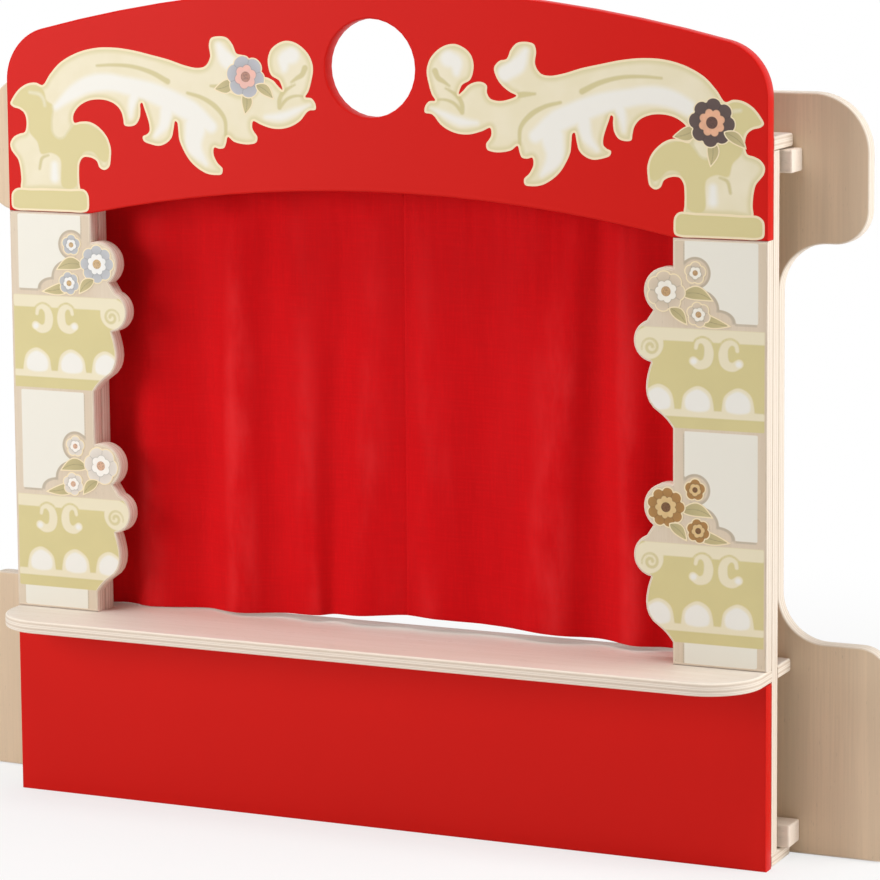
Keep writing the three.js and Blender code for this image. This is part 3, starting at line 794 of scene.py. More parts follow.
def front_face(form):
    """Where a board's front is, its faces there and the edges round them."""
    front = min(one.co.y for one in form.verts)
    faces = [one for one in form.faces
             if one.normal.y < -FLAT_SLOPE and one.calc_center_median().y < front + FACE_DEPTH]
    rim = [edge for edge in form.edges if sum(one in faces for one in edge.link_faces) == 1]
    return front, faces, rim


def finely_faced(form, spacing):
    """Gives the front face of a board a fine net for its inks, and gives back the net's faces."""
    for edge in front_face(form)[2]:
        for part in range(math.ceil(edge.calc_length() / RIM_STEP), 1, -1):
            bmesh.utils.edge_split(edge, edge.verts[0], 1 / part)
    front, faces, rim = front_face(form)
    left = set(rim)
    loop = [rim[0].verts[0]]
    while left:
        found = next((one for one in loop[-1].link_edges if one in left), None)
        if found is None:
            raise RuntimeError("the front face of a column isn't one closed outline")
        left.discard(found)
        loop.append(found.other_vert(loop[-1]))
    loop.pop()
    bmesh.ops.delete(form, geom=faces, context="FACES")
    ring = np.array([(one.co.x, one.co.z) for one in loop]) / MM
    if (counter_clockwise(ring) != ring).any():
        ring = ring[::-1]
        loop = loop[::-1]
    points, triangles, sources = fine_net(ring, spacing)
    vertices = [loop[source] if 0 <= source < len(loop) else form.verts.new((x * MM, front, z * MM))
                for (x, z), source in zip(points, sources)]
    return [form.faces.new([vertices[index] for index in triangle]) for triangle in triangles]


def panel_rim(points, node):
    """How far inside a column's outline each point is. The front's outer edges don't count."""
    form = whole_form(node)
    rim = front_face(form)[2]
    stretches = [np.array([(end.co.x, end.co.z) for end in edge.verts]) / MM for edge in rim]
    form.free()
    return union(*(from_line(points, pair) for pair in stretches if (abs(pair[:, 0]) <= OUTER_EDGE).any()))


def plate(name, ring, front, height, spacing):
    """A thin closed plate on a board's front, with a fine net on its face."""
    ring = counter_clockwise(ring)
    points, triangles, sources = fine_net(ring, spacing)
    form = bmesh.new()
    face = [form.verts.new((x * MM, front - height, z * MM)) for x, z in points]
    for triangle in triangles:
        form.faces.new([face[index] for index in triangle])
    order = {source: vertex for vertex, source in zip(face, sources) if 0 <= source < len(ring)}
    edge = [order[index] for index in sorted(order)]
    foot = [form.verts.new((one.co.x, front + FACE_DEPTH, one.co.z)) for one in edge]
    for index, one in enumerate(edge):
        following = (index + 1) % len(edge)
        form.faces.new([one, foot[index], foot[following], edge[following]])
    form.faces.new(foot[::-1])
    return as_mesh(form, name)


def printed_piece(name, ring, height, spacing, inks, material):
    """A printed ornament on the front: a thin plate with its inks kept at each point."""
    mesh = plate(name, ring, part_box("header_panel")[0].y, height, spacing)
    keep_numbers(mesh, inks(front_points(mesh)))
    return finished(name, mesh, "front", [], [material])


# Ornaments: the header's scrolls, the balconies on the columns, and the flowers

HEADER_FOOT = 554.0
SCROLL_LINE = (
    (352, 119), (343, 120), (336, 118), (328, 128), (317, 139), (300, 148), (281, 153), (261, 154),
    (241, 152), (221, 148), (203, 144), (186, 139), (173, 137), (165, 139), (160, 147), (161, 158),
    (159, 164), (153, 166), (143, 165), (137, 159), (133, 151), (126, 149), (121, 143), (123, 135),
    (128, 128), (136, 122), (142, 119), (133, 115), (124, 114), (117, 116), (114, 121), (114, 127),
    (110, 130), (103, 130), (96, 127), (91, 122), (87, 119), (90, 127), (98, 132), (101, 140), (101, 148),
    (98, 155), (92, 160), (84, 163), (75, 162), (66, 157), (59, 149), (56, 139), (58, 127), (61, 118),
    (64, 113), (58, 112), (54, 107), (54, 102), (60, 101), (63, 99), (69, 92), (77, 87), (87, 84), (98, 84),
    (109, 87), (117, 90), (118, 84), (116, 80), (113, 76), (114, 71), (120, 69), (128, 69), (137, 71),
    (143, 75), (145, 69), (147, 65), (152, 64), (157, 65), (158, 59), (154, 51), (149, 46), (150, 41),
    (156, 40), (165, 41), (175, 46), (183, 53), (189, 62), (193, 71), (194, 80), (195, 87), (197, 88),
    (199, 80), (201, 73), (206, 68), (214, 65), (222, 66), (230, 69), (231, 73), (227, 75), (224, 78),
    (224, 84), (226, 91), (229, 99), (231, 104), (233, 103), (233, 97), (234, 90), (238, 84), (244, 82),
    (250, 83), (251, 88), (253, 95), (258, 101), (267, 105), (278, 106), (289, 104), (299, 98), (304, 90),
    (303, 84), (296, 85), (287, 85), (278, 81), (269, 72), (265, 62), (265, 53), (267, 44), (272, 41),
    (277, 43), (280, 49), (286, 52), (294, 52), (298, 47), (299, 39), (299, 29), (299, 20), (320, 20),
    (340, 20), (361, 20), (361, 30), (362, 41), (364, 48), (368, 53), (371, 57), (372, 63), (368, 69),
    (362, 72), (356, 74), (354, 83), (356, 91), (361, 95), (368, 97), (371, 100), (368, 106), (361, 114),
)
CAPITAL_LINE = (
    (325, 99), (332, 104), (335, 113), (345, 118), (356, 115), (366, 107), (370, 100), (361, 97), (353, 91),
    (351, 74), (343, 65), (339, 54), (328, 55), (319, 50), (317, 24), (303, 24), (299, 41), (294, 56),
    (284, 57), (276, 50), (271, 48), (267, 52), (266, 61), (271, 73), (287, 82), (304, 84), (310, 77),
    (315, 71), (320, 70), (325, 74), (326, 84),
)
PLINTH_LINE = (
    (372, 10), (371, 17), (366, 21), (350, 21.5), (330, 22), (310, 22), (294, 22), (290, 18), (289, 11),
    (290, 3), (295, 0.8), (310, 0.6), (330, 0.6), (350, 0.6), (366, 0.8), (371, 3),
)
KHAKI_STROKES = (
    (((278, 137), (262, 138), (241, 137), (221, 132), (204, 124)), (1.2, 1.8, 2.6)),
    (((184, 114), (169, 110), (155, 102), (146, 91), (145, 76)), (1.4, 2.4, 1.5)),
    (((64, 139), (67, 133), (72, 130), (78, 126)), (2.8, 2.2, 1.0)),
    (((90, 103), (90, 110), (86, 117), (80, 121), (74, 124)), (2.2, 2.0, 0.8)),
    (((90, 103), (82, 111), (72, 114), (63, 113)), (1.8, 1.4, 0.8)),
    (((137, 118), (148, 120), (160, 121)), (2.0, 2.6, 1.2)),
    (((331, 53), (338, 50), (341, 40)), (1.0, 1.6, 1.4)),
)
WHITE_STROKES = (
    (((322, 98), (306, 110), (288, 119), (268, 122), (246, 119), (222, 114), (200, 106), (178, 96),
      (160, 84)), (4.0, 8.0, 9.5, 9.0, 10.0, 11.0, 11.0, 7.0)),
    (((176, 84), (178, 66), (166, 50)), (12.0, 9.0, 3.0)),
    (((205, 100), (209, 84), (218, 74)), (8.0, 6.5, 3.0)),
    (((238, 113), (242, 101), (243, 91)), (7.0, 5.0, 2.5)),
    (((131, 138), (144, 146), (151, 158)), (8.0, 8.5, 4.0)),
    (((77, 150), (84, 147), (85, 138)), (8.5, 7.5, 4.5)),
    (((60, 106), (72, 101), (88, 95), (104, 94)), (1.8, 4.2, 5.2, 3.0)),
    (((325, 44), (325, 32)), (4.6, 5.4)),
    (((334, 99), (335, 104), (339, 109), (350, 111)), (1.0, 1.3, 1.0)),
)
CLEFT_LINE = ((303, 84), (309, 77), (315, 70), (320, 69), (326, 74), (327, 84), (325, 96))
CLEFT_WIDTHS = (1.4, 1.0)
CLEFT_MARGIN = 1.0
VOLUTE_PLACES = (463.0, 273.5)
CURL_LINES = (
    ((309.5, -4), (311, 0.8), (315.5, 2.4), (320, -0.8), (321.5, -9.5), (319, -16.5), (312.5, -18.8),
     (307.2, -15.6)),
    ((347.5, -5), (346.2, -0.2), (341.6, 1.8), (336.4, -1.6), (334.6, -9.5), (336.8, -17), (343, -19.4),
     (349.2, -16.2)),
)
CURL_WIDTHS = (1.7, 1.9, 3.4, 4.3, 4.3, 3.8, 4.0)
RING_PLACES = (274.6, 311.0, 348.2)
RING_LINE = (
    (-14.2, -62), (-14.4, -53), (-12.6, -45.5), (-6.8, -40), (0, -37.3), (6, -38.8), (11.6, -43.4),
    (14.2, -51), (14.2, -62), (5, -64), (-5, -64),
)
CORE_LINE = (
    (-10.6, -58), (-12.2, -52), (-10.2, -45.6), (-5.4, -41.6), (0, -39.8), (5, -41.2), (9.6, -45), (12, -51),
    (10.8, -57.8), (5, -60), (-5, -60),
)
RAIL_BOTTOM = 1.2
RAIL_TOP = 12.4
FLOWER_RISE = 44
PANE_SIDES = (299, 366.3)
PANES = (
    (VOLUTE_PLACES[0] + 18.5, 551.6), (VOLUTE_PLACES[1] + 18.5, VOLUTE_PLACES[0] - 77.4),
    (180.2, VOLUTE_PLACES[1] - 74),
)
PANE_SHADOW_SHIFT = (1.0, 1.8)
BALCONY_BOX = ((240, -75), (372.3, RAIL_TOP))
RAIL_BOX = ((262, RAIL_BOTTOM), (372.4, RAIL_TOP))
CURL_MARGIN = 1.9
VOLUTE_OVAL = ((265.5, -2.0), 14.0, 14.0)
SILL_BOX = ((262, -64.8), (372.4, -58.4))
SILL_LINE = np.array([(262, -66.2), (372, -65.6)])
SILL_WIDTHS = (0.8, 0.5)
SPIRAL_CENTRE = (267.8, -5.2)
SPIRAL_TURNS = (0.1, 3.1 * math.pi)
SPIRAL_REACH = (1.6, 8.6)
SPIRAL_WIDTHS = (1.5, 1.3, 0.7)
SPIRAL_POINTS = 60
CURL_EYES = (((307.6, -15.8), 3.4, 3.2), ((348.8, -16.6), 3.4, 3.2))
HALO_OVALS = (
    ((283.5, 0), 23.5, 23.5), ((312, -14), 19, 17), ((330, -25), 16, 11), ((309, 17), 14, 14),
)
HALO_SHADOW = (0.2, 2.2, 0.5)


def header_line(points, side, closed=False):
    """A smooth line on the header, on its left (-1) or its right (1)."""
    return flowing(np.array(points, float) * (side, 1) + (0, HEADER_FOOT), closed)


def strokes_field(points, strokes, side):
    return union(*(stroke_field(points, header_line(line, side), widths) for line, widths in strokes))


def scroll_inks(points, ring, side, body_line):
    """The inks of a scroll with its capital, or of a plinth, at each point of its plate."""
    cleft = stroke_field(points, header_line(CLEFT_LINE, side), CLEFT_WIDTHS) + CLEFT_MARGIN
    return {
        "rim": -area_field(points, ring),
        "khaki": area_field(points, header_line(body_line, side, True)),
        "stroke": strokes_field(points, KHAKI_STROKES, side),
        "white": union(strokes_field(points, WHITE_STROKES, side), cleft),
    }


def pane_field(points):
    """The ivory panes above, between and below the balconies."""
    inner, outer = PANE_SIDES
    return union(*(box_field(points, (inner, foot), (outer, top)) for foot, top in PANES))


def balcony_inks(points, side):
    """The inks of one column's face: ivory panes, then a balcony with volute, curls and ovals, twice."""
    outward = points * (side, 1)
    angles = np.linspace(*SPIRAL_TURNS, SPIRAL_POINTS)
    turns = np.stack([np.cos(angles), np.sin(angles)], 1)
    spiral = np.array(SPIRAL_CENTRE) + np.linspace(*SPIRAL_REACH, SPIRAL_POINTS)[:, None] * turns
    curls = [flowing(line) for line in CURL_LINES]
    ring_line = flowing(RING_LINE, True)
    core_line = flowing(CORE_LINE, True)
    khaki, cream, stroke, white, halo = [], [], [], [], []
    for volute in VOLUTE_PLACES:
        place = outward - (0, volute)
        curled = [stroke_field(place, line, CURL_WIDTHS) for line in curls]
        middles = [place - (middle, 0) for middle in RING_PLACES]
        khaki.append(box_field(place, *BALCONY_BOX))
        cream += [np.maximum(box_field(place, *RAIL_BOX), CURL_MARGIN - union(*curled)), *curled]
        cream += [oval_field(place, *VOLUTE_OVAL), box_field(place, *SILL_BOX)]
        cream += [area_field(one, ring_line) for one in middles]
        stroke += [stroke_field(place, spiral, SPIRAL_WIDTHS), stroke_field(place, SILL_LINE, SILL_WIDTHS)]
        white += [area_field(one, core_line) for one in middles]
        white += [oval_field(place, *eye) for eye in CURL_EYES]
        halo += [oval_field(place - (0, FLOWER_RISE), *oval) for oval in HALO_OVALS]
    panes = pane_field(outward)
    halo = union(*halo)
    outside, inside, margin = HALO_SHADOW
    ring_shadow = np.maximum.reduce([halo - outside, -halo - inside, panes - margin])
    pane_shadow = np.maximum.reduce([pane_field(outward + PANE_SHADOW_SHIFT), -panes, -halo])
    return {
        "khaki": union(*khaki), "cream": union(*cream), "stroke": union(*stroke), "white": union(*white),
        "ivory": np.maximum(panes, -halo), "shadow": union(pane_shadow, ring_shadow),
    }


PETAL_NET = 1.0
PETAL_POINTS = 30
BAY_EASE = 0.6
INNER_EASE = 0.7
INNER_DEPTH = 0.22
INNER_SHARE = 0.56
HEART_SHARE = 0.24
NOT_HERE = 9.0
RIB_POINTS = 26


def flower(name, centre, radius, petals, depth, turn, height, material):
    """A printed flower: its outline, and how far each point is from its seams, inner petals and heart."""
    centre = np.array(centre)
    angles = np.linspace(0, FULL_TURN, PETAL_POINTS * petals, endpoint=False)
    bays = radius * (1 - depth + depth * np.abs(np.sin(petals * (angles - turn) / 2)) ** BAY_EASE)
    ring = centre + np.stack([bays * np.cos(angles), bays * np.sin(angles)], 1)

    def inks(points):
        x, z = (points - centre).T
        reach = np.hypot(x, z)
        angle = np.arctan2(z, x) - turn
        sector = FULL_TURN / petals
        to_seam = np.abs((angle + sector / 2) % sector - sector / 2)
        waves = np.abs(np.sin(petals * (angle + sector / 2) / 2)) ** INNER_EASE
        inner = radius * INNER_SHARE * (1 - INNER_DEPTH + INNER_DEPTH * waves)
        return {
            "rim": -area_field(points, ring),
            "seam": reach * np.sin(np.minimum(to_seam, math.pi / 2)),
            "reach": np.clip(reach / radius, 0, 1) ** 1.5,
            "inner": reach - inner,
            "heart": reach - radius * HEART_SHARE,
        }

    printed_piece(name, ring, height, PETAL_NET, inks, material)


def leaf(name, foot, tip, width, bend, height, material):
    """A pointed printed leaf with a midrib, from its foot to its tip."""
    foot = np.array(foot, float)
    along = np.array(tip, float) - foot
    length = np.linalg.norm(along)
    side = np.array((-along[1], along[0])) / length
    shares = np.linspace(0, 1, RIB_POINTS)[:, None]
    rib = foot + shares * along + bend * np.sin(math.pi * shares) * side
    half = width / 2 * np.sin(math.pi * shares ** 0.8) ** 0.9 * side
    ring = np.vstack([rib + half, (rib - half)[-2:0:-1]])

    def inks(points):
        return {
            "rim": -area_field(points, ring),
            "seam": from_line(points, rib),
            "reach": np.clip(np.linalg.norm(points - foot, axis=1) / length, 0, 1),
            "inner": np.full(len(points), NOT_HERE),
            "heart": np.full(len(points), NOT_HERE),
        }

    printed_piece(name, ring, height, PETAL_NET, inks, material)


# Turned pieces and screws

ROUND_SEGMENTS = 48
HEAD_SEGMENTS = 32
SHANK_SEGMENTS = 12
HEAD_RADIUS = 0.004
HEAD_DEPTH = 0.003
HEAD_RIM = 0.0002
HEAD_WALL = 0.0005
RECESS_FOOT = 0.0006
RECESS_TOP = 0.0021
RECESS_DEPTH = 0.0024
RECESS_SINK = 0.0008
RECESS_STRETCH = (1.35, 0.34, 1)
NECK_RADIUS = 0.0019
HEAD_SHARE = 0.98
THREADS = 14
THREAD_START = 0.14
THREAD_REACH = 0.72


def turned_form(profile, segments):
    """A closed form turned round Z from a profile of radius and height, in metres."""
    form = bmesh.new()
    rings = []
    for radius, height in profile:
        turns = [FULL_TURN * index / segments for index in range(segments if radius else 1)]
        rings.append([form.verts.new((radius * math.cos(t), radius * math.sin(t), height)) for t in turns])
    for low, high in zip(rings, rings[1:]):
        for index in range(segments):
            following = (index + 1) % segments
            ends = [low[index % len(low)], low[following % len(low)], high[following % len(high)],
                    high[index % len(high)]]
            form.faces.new(list(dict.fromkeys(ends)))
    bmesh.ops.recalc_face_normals(form, faces=form.faces)
    shade_form(form, lambda face: abs(face.normal.z) > FLAT_SLOPE)
    return form


def domed(radius, height, low, steps=5):
    """The profile of a domed head from its rim at a low height to its top."""
    turns = [math.pi / 2 * step / steps for step in range(steps)]
    return [(radius * math.cos(t), low + height * math.sin(t)) for t in turns] + [(0, low + height)]


def turned_piece(name, node, profile, material, turn=Matrix.Identity(4)):
    form = turned_form(profile, ROUND_SEGMENTS)
    bmesh.ops.transform(form, matrix=Matrix.Translation(middle_of(node)) @ turn, verts=form.verts)
    return finished(name, as_mesh(form, name), "front", [node], [material])


def screw_head():
    """A countersunk head with its top at the origin, facing +Z, and a cross recess cut in it."""
    profile = [(0, 0), (HEAD_RADIUS - HEAD_RIM, 0), (HEAD_RADIUS, -HEAD_RIM), (HEAD_RADIUS, -HEAD_WALL),
               (NECK_RADIUS, -HEAD_DEPTH), (0, -HEAD_DEPTH)]
    form = turned_form(profile, HEAD_SEGMENTS)
    head = linked("screw_head", as_mesh(form, "screw_head"))
    form = bmesh.new()
    for turn in (0, math.pi / 2):
        cone = bmesh.ops.create_cone(form, cap_ends=True, segments=4, radius1=RECESS_FOOT, radius2=RECESS_TOP,
                                     depth=RECESS_DEPTH)["verts"]
        bmesh.ops.rotate(form, verts=cone, matrix=Matrix.Rotation(math.pi / 4, 3, "Z"))
        bmesh.ops.scale(form, verts=cone, vec=RECESS_STRETCH)
        bmesh.ops.rotate(form, verts=cone, matrix=Matrix.Rotation(turn, 3, "Z"))
        bmesh.ops.translate(form, verts=cone, vec=(0, 0, -RECESS_SINK))
    cutter = linked("cross_cutter", as_mesh(form, "cross_cutter"))
    cut = head.modifiers.new("cross", "BOOLEAN")
    cut.operation = "DIFFERENCE"
    cut.object = cutter
    cut.solver = "EXACT"
    cut.use_self = True
    head.data = applied(head)
    bpy.data.objects.remove(cutter)
    return head


def screw_shank():
    """A threaded shank one metre long in name: its height is scaled to the screw's own reach."""
    profile = [(0, -0.09), (NECK_RADIUS, -0.1)]
    for ridge in range(THREADS):
        top = -THREAD_START - THREAD_REACH * ridge / THREADS
        profile += [(0.0014, top), (0.002, top - 0.02)]
    profile += [(0.0013, -0.9), (0, -1)]
    return linked("screw_shank", as_mesh(turned_form(profile, SHANK_SEGMENTS), "screw_shank"))


def screw_tree():
    """Geometry nodes that set a head and a shank on every point, facing out, each turned at random."""
    tree = bpy.data.node_groups.new("screws_on_points", "GeometryNodeTree")
    wiring = Wiring(tree)
    sockets = {}
    for name, kind, way in (("Places", "Geometry", "INPUT"), ("Head", "Object", "INPUT"),
                            ("Shank", "Object", "INPUT"), ("Turn Seed", "Int", "INPUT"),
                            ("Finish", "Material", "INPUT"), ("Screws", "Geometry", "OUTPUT")):
        made = tree.interface.new_socket(name, in_out=way, socket_type="NodeSocket" + kind)
        sockets[name] = made.identifier

    def given(name):
        return wiring.node("NodeGroupInput", output=name)

    def kept(name, kind):
        return wiring.node("GeometryNodeInputNamedAttribute", {"data_type": kind}, {"Name": name})

    def set_on_points(name, scale):
        shape = wiring.node("GeometryNodeObjectInfo", values={"Object": given(name)}, output="Geometry")
        return wiring.node("GeometryNodeInstanceOnPoints", values={
            "Points": given("Places"), "Instance": shape, "Rotation": rotation, "Scale": scale})

    facing = kept("facing", "FLOAT_VECTOR")
    out = wiring.node("FunctionNodeAlignRotationToVector", {"axis": "Z"}, {"Vector": facing})
    turn = wiring.node("FunctionNodeRandomValue", {"data_type": "FLOAT"},
                       {2: 0.0, 3: FULL_TURN, "Seed": given("Turn Seed")}, output=1)
    spin = wiring.node("FunctionNodeAxisAngleToRotation", values={"Axis": (0, 0, 1), "Angle": turn})
    rotation = wiring.node("FunctionNodeRotateRotation", {"rotation_space": "LOCAL"}, {0: out, 1: spin})
    stretch = wiring.node("ShaderNodeCombineXYZ", values={0: 1.0, 1: 1.0, 2: kept("reach", "FLOAT")})
    sets = [set_on_points("Head", (1, 1, 1)), set_on_points("Shank", stretch)]
    joined = wiring.node("GeometryNodeJoinGeometry", values={0: sets})
    real = wiring.node("GeometryNodeRealizeInstances", values={0: joined})
    coated = wiring.node("GeometryNodeSetMaterial", values={"Geometry": real, "Material": given("Finish")})
    wiring.node("NodeGroupOutput", values={0: coated})
    return tree, sockets


def screw_place(node):
    """Where a CAD screw's head is, which way it faces and how long it is."""
    points = corners(frame["nodes"][node].data).astype(float)
    middle = points.mean(0)
    axis = np.linalg.svd(points - middle, full_matrices=False)[2][0]
    along = (points - middle) @ axis
    radius = np.linalg.norm((points - middle) - along[:, None] * axis, axis=1)
    if along[radius.argmax()] < 0:
        axis, along = -axis, -along
    centre = points[radius > radius.max() * HEAD_SHARE].mean(0)
    head = centre + axis * (along.max() - (centre - middle) @ axis)
    return head, axis, along.max() - along.min()


def set_screws(name, body, nodes, tree, sockets, head, shank):
    """All screws of one body as one mesh, made by the geometry nodes."""
    heads, axes, reaches = zip(*(screw_place(node) for node in nodes))
    mesh = bpy.data.meshes.new(name + "_places")
    mesh.from_pydata([tuple(place) for place in heads], [], [])
    keep_places(mesh, "facing", axes)
    keep_numbers(mesh, {"reach": reaches})
    points = linked(name + "_places", mesh)
    made = points.modifiers.new("screws", "NODES")
    made.node_group = tree
    values = {"Head": head, "Shank": shank, "Finish": zinc_steel(),
              "Turn Seed": bpy.context.scene.theater_fasteners.turn_seed}
    for title, value in values.items():
        made[sockets[title]] = value
    screws = applied(points)
    bpy.data.objects.remove(points)
    if not screws.polygons:
        raise RuntimeError("no screws were made for " + body)
    return finished(name, screws, body, nodes, [zinc_steel()])


# Curtains

LEFT_FOLDS = (
    (0, -0.1, 0), (0.07, 0.7, 0.08), (0.2, -0.5, 0.04), (0.345, 0.6, -0.065), (0.43, -0.35, -0.02),
    (0.53, 1, 0.0), (0.665, -1, 0.0), (0.82, 0.7, 0.01), (0.93, -0.6, 0), (1, 0.2, 0),
)
RIGHT_FOLDS = (
    (0, 0.15, 0), (0.075, 0.5, 0.01), (0.3, -0.4, -0.03), (0.575, 0.9, -0.08), (0.655, -0.75, -0.02),
    (0.73, 0.8, 0.03), (0.87, -0.9, 0.0), (1, 0.4, 0),
)
CURTAINS = (("left", LEFT_FOLDS, 3, 2.4), ("right", RIGHT_FOLDS, 8, 0.85))
COLUMNS = 132
LEVELS = 84
ROD_Y = middle_of("curtain_rod").y
ROD_Z = middle_of("curtain_rod").z
CASING_RADIUS = 0.0073
CASING_FOOT = ROD_Z - 0.017
CASING_ROWS = 8
CASING_REACH = 0.0007
RIPPLE_DEPTH = 0.0003
RIPPLE_PITCH = 0.013
FLAP_HEIGHT = 0.005
FLAP_BACK = 0.0012
SHEET_GAP = 0.0006
HEM_BOW = 0.0125
HEM_RADIUS = 0.0009
HEM_LEAN = 0.0005
EDGE_SHARE = 0.03
EDGE_FORWARD = 0.0008
TUCK_REACH = 0.010
TUCK_BACK = 0.0028
TUCK_DROP = 0.012
GATHER_PITCHES = (0.011, 0.0167, 0.027)
GATHER_DEPTH = 0.0006
GATHER_REACH = 0.09
SOFT_CREASES = (42, 2.2, 0.0)
SOFT_DEPTH = 0.0012
FINE_CREASES = (120, 5.0, 7.3)
FINE_DEPTH = 0.0002


def smooth(low, high, value):
    share = np.clip((value - low) / (high - low), 0, 1)
    return share * share * (3 - 2 * share)


def fold_wave(folds, across, down):
    """How far the cloth stands forward, as a share of the fold depth. Folds lean as they go down."""
    places = np.array([place + lean * down for place, _, lean in folds])
    depths = np.array([depth for _, depth, _ in folds])
    after = np.clip(np.searchsorted(places, across), 1, len(places) - 1)
    share = smooth(0, 1, (across - places[after - 1]) / (places[after] - places[after - 1]))
    return depths[after - 1] + share * (depths[after] - depths[after - 1])


def creases(across, down, width, seed):
    """Small gathers under the casing, and long faint creases below, in metres."""
    drift = random.Random(seed)
    starts = [drift.uniform(0, FULL_TURN) for _ in GATHER_PITCHES]
    gathers = sum(np.sin(across * width / pitch * FULL_TURN + start + 1.3 * np.sin(across * 9 + start))
                  for pitch, start in zip(GATHER_PITCHES, starts)) / len(starts)

    def wandering(wide, high, lift):
        return np.array([noise.noise(Vector((at * width * wide + seed, down * high, seed + lift)))
                         for at in across])

    return (gathers * GATHER_DEPTH * math.exp(-down / GATHER_REACH)
            + wandering(*SOFT_CREASES) * SOFT_DEPTH * min(down * 5 + 0.3, 1)
            + wandering(*FINE_CREASES) * FINE_DEPTH)


def curtain_rows(inner, outer, folds, seed, hem_ease):
    """The cloth's rows from the casing's back flap, over the rod, down to the hem and up behind it."""
    across = np.linspace(0, 1, COLUMNS)
    width = abs(outer - inner)
    edge_lean = TUCK_BACK if outer < inner else -EDGE_FORWARD
    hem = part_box("stage_shelf")[1].z + size("hem_clearance") + HEM_BOW * (1 - across) ** hem_ease
    flat = np.ones(COLUMNS)
    rows = [(ROD_Y + FLAP_BACK * flat, (CASING_FOOT - FLAP_HEIGHT) * flat)]

    def ripple(level):
        return RIPPLE_DEPTH * (1 + np.sin(across * width / RIPPLE_PITCH * FULL_TURN + seed + level))

    def casing_side(shares, way, level):
        """The casing between its seam and the rod, behind the rod (way 1) or before it (way -1)."""
        for share in shares:
            bulge = SHEET_GAP + (CASING_RADIUS - SHEET_GAP) * smooth(0, 1, share) + ripple(level) * share
            rows.append((ROD_Y + way * bulge, (CASING_FOOT + (ROD_Z - CASING_FOOT) * share) * flat))

    casing_side(np.linspace(0, 1, CASING_ROWS, endpoint=False), 1, 0)
    for turn in np.linspace(0, math.pi, 13):
        radius = CASING_RADIUS + ripple(turn * 0.2)
        rows.append((ROD_Y + radius * math.cos(turn), ROD_Z + radius * math.sin(turn)))
    casing_side(np.linspace(1, 0, CASING_ROWS, endpoint=False)[1:], -1, 0.6)

    def hanging(z):
        down = np.clip((CASING_FOOT - z) / (CASING_FOOT - hem), 0, 1)
        level = float(down.mean())
        free = smooth(0, 0.03, down)
        hang = 0.45 * smooth(0, 0.08, down) + 0.55 * smooth(0.02, 0.55, down)
        gap = SHEET_GAP * (1 - smooth(0, 0.05, down))
        swing = hang * size("fold_depth") * fold_wave(folds, across, level)
        swing -= creases(across, level, width, seed) * free
        edge = smooth(EDGE_SHARE, 0, across)
        return ROD_Y - gap - swing * (1 - edge) + edge_lean * edge * free

    for share in np.linspace(0, 1, LEVELS):
        z = CASING_FOOT + (hem - CASING_FOOT) * share
        rows.append((hanging(z), z))
    foot = rows[-1][0]
    for turn in np.linspace(0, math.pi, 5)[1:]:
        rows.append((foot + HEM_RADIUS * (1 - math.cos(turn)), hem - HEM_RADIUS * math.sin(turn)))
    for share in np.linspace(0, 1, 7)[1:]:
        z = hem + size("hem_height") * share
        rows.append((hanging(z) + 2 * HEM_RADIUS - HEM_LEAN * share, z))
    return inner + (outer - inner) * across, rows


def curtain(name, inner, outer, folds, seed, hem_ease):
    """One curtain as a single woven sheet, with its map along the threads, and its flat size."""
    x, rows = curtain_rows(inner, outer, folds, seed, hem_ease)
    grid = np.array([np.stack([x, y, z], 1) for y, z in rows])
    if outer < inner:
        inner_edge = smooth(EDGE_SHARE, 0, (x - inner) / (outer - inner))
        tuck = inner_edge * smooth(0, TUCK_DROP, CASING_FOOT - grid[..., 2])
        grid[..., 0] += CASING_REACH * inner_edge + TUCK_REACH * tuck
    down = np.linalg.norm(np.diff(grid, axis=0), axis=2).mean(1)
    across = np.linalg.norm(np.diff(grid, axis=1), axis=2)
    flat_width = float(across.sum(1).mean())
    v = -np.concatenate([[0], np.cumsum(down)])
    u = np.concatenate([[0], np.cumsum(across.mean(0))])
    form = bmesh.new()
    chart = form.loops.layers.uv.new("UVMap")
    # How far each point stands forward of the rod, kept for the painted highlight on the fold ridges.
    ridge = form.verts.layers.float.new("ridge")
    made = [[form.verts.new(point) for point in row] for row in grid]
    for vertex in form.verts:
        if vertex.co.z < CASING_FOOT:
            vertex[ridge] = (ROD_Y - vertex.co.y) / size("fold_depth")
    for row in range(len(rows) - 1):
        for column in range(len(x) - 1):
            spots = [(row, column), (row + 1, column), (row + 1, column + 1), (row, column + 1)]
            if outer < inner:
                spots.reverse()
            face = form.faces.new([made[r][c] for r, c in spots])
            face.smooth = True
            for loop, (r, c) in zip(face.loops, spots):
                loop[chart].uv = (u[c], v[r])
    piece = linked(name, as_mesh(form, name))
    thick = piece.modifiers.new("thickness", "SOLIDIFY")
    thick.thickness = size("cloth_thickness")
    thick.offset = 0
    final = applied(piece)
    bpy.data.objects.remove(piece)
    return final, (flat_width, float(down.sum()))


# Camera, lamps and floor

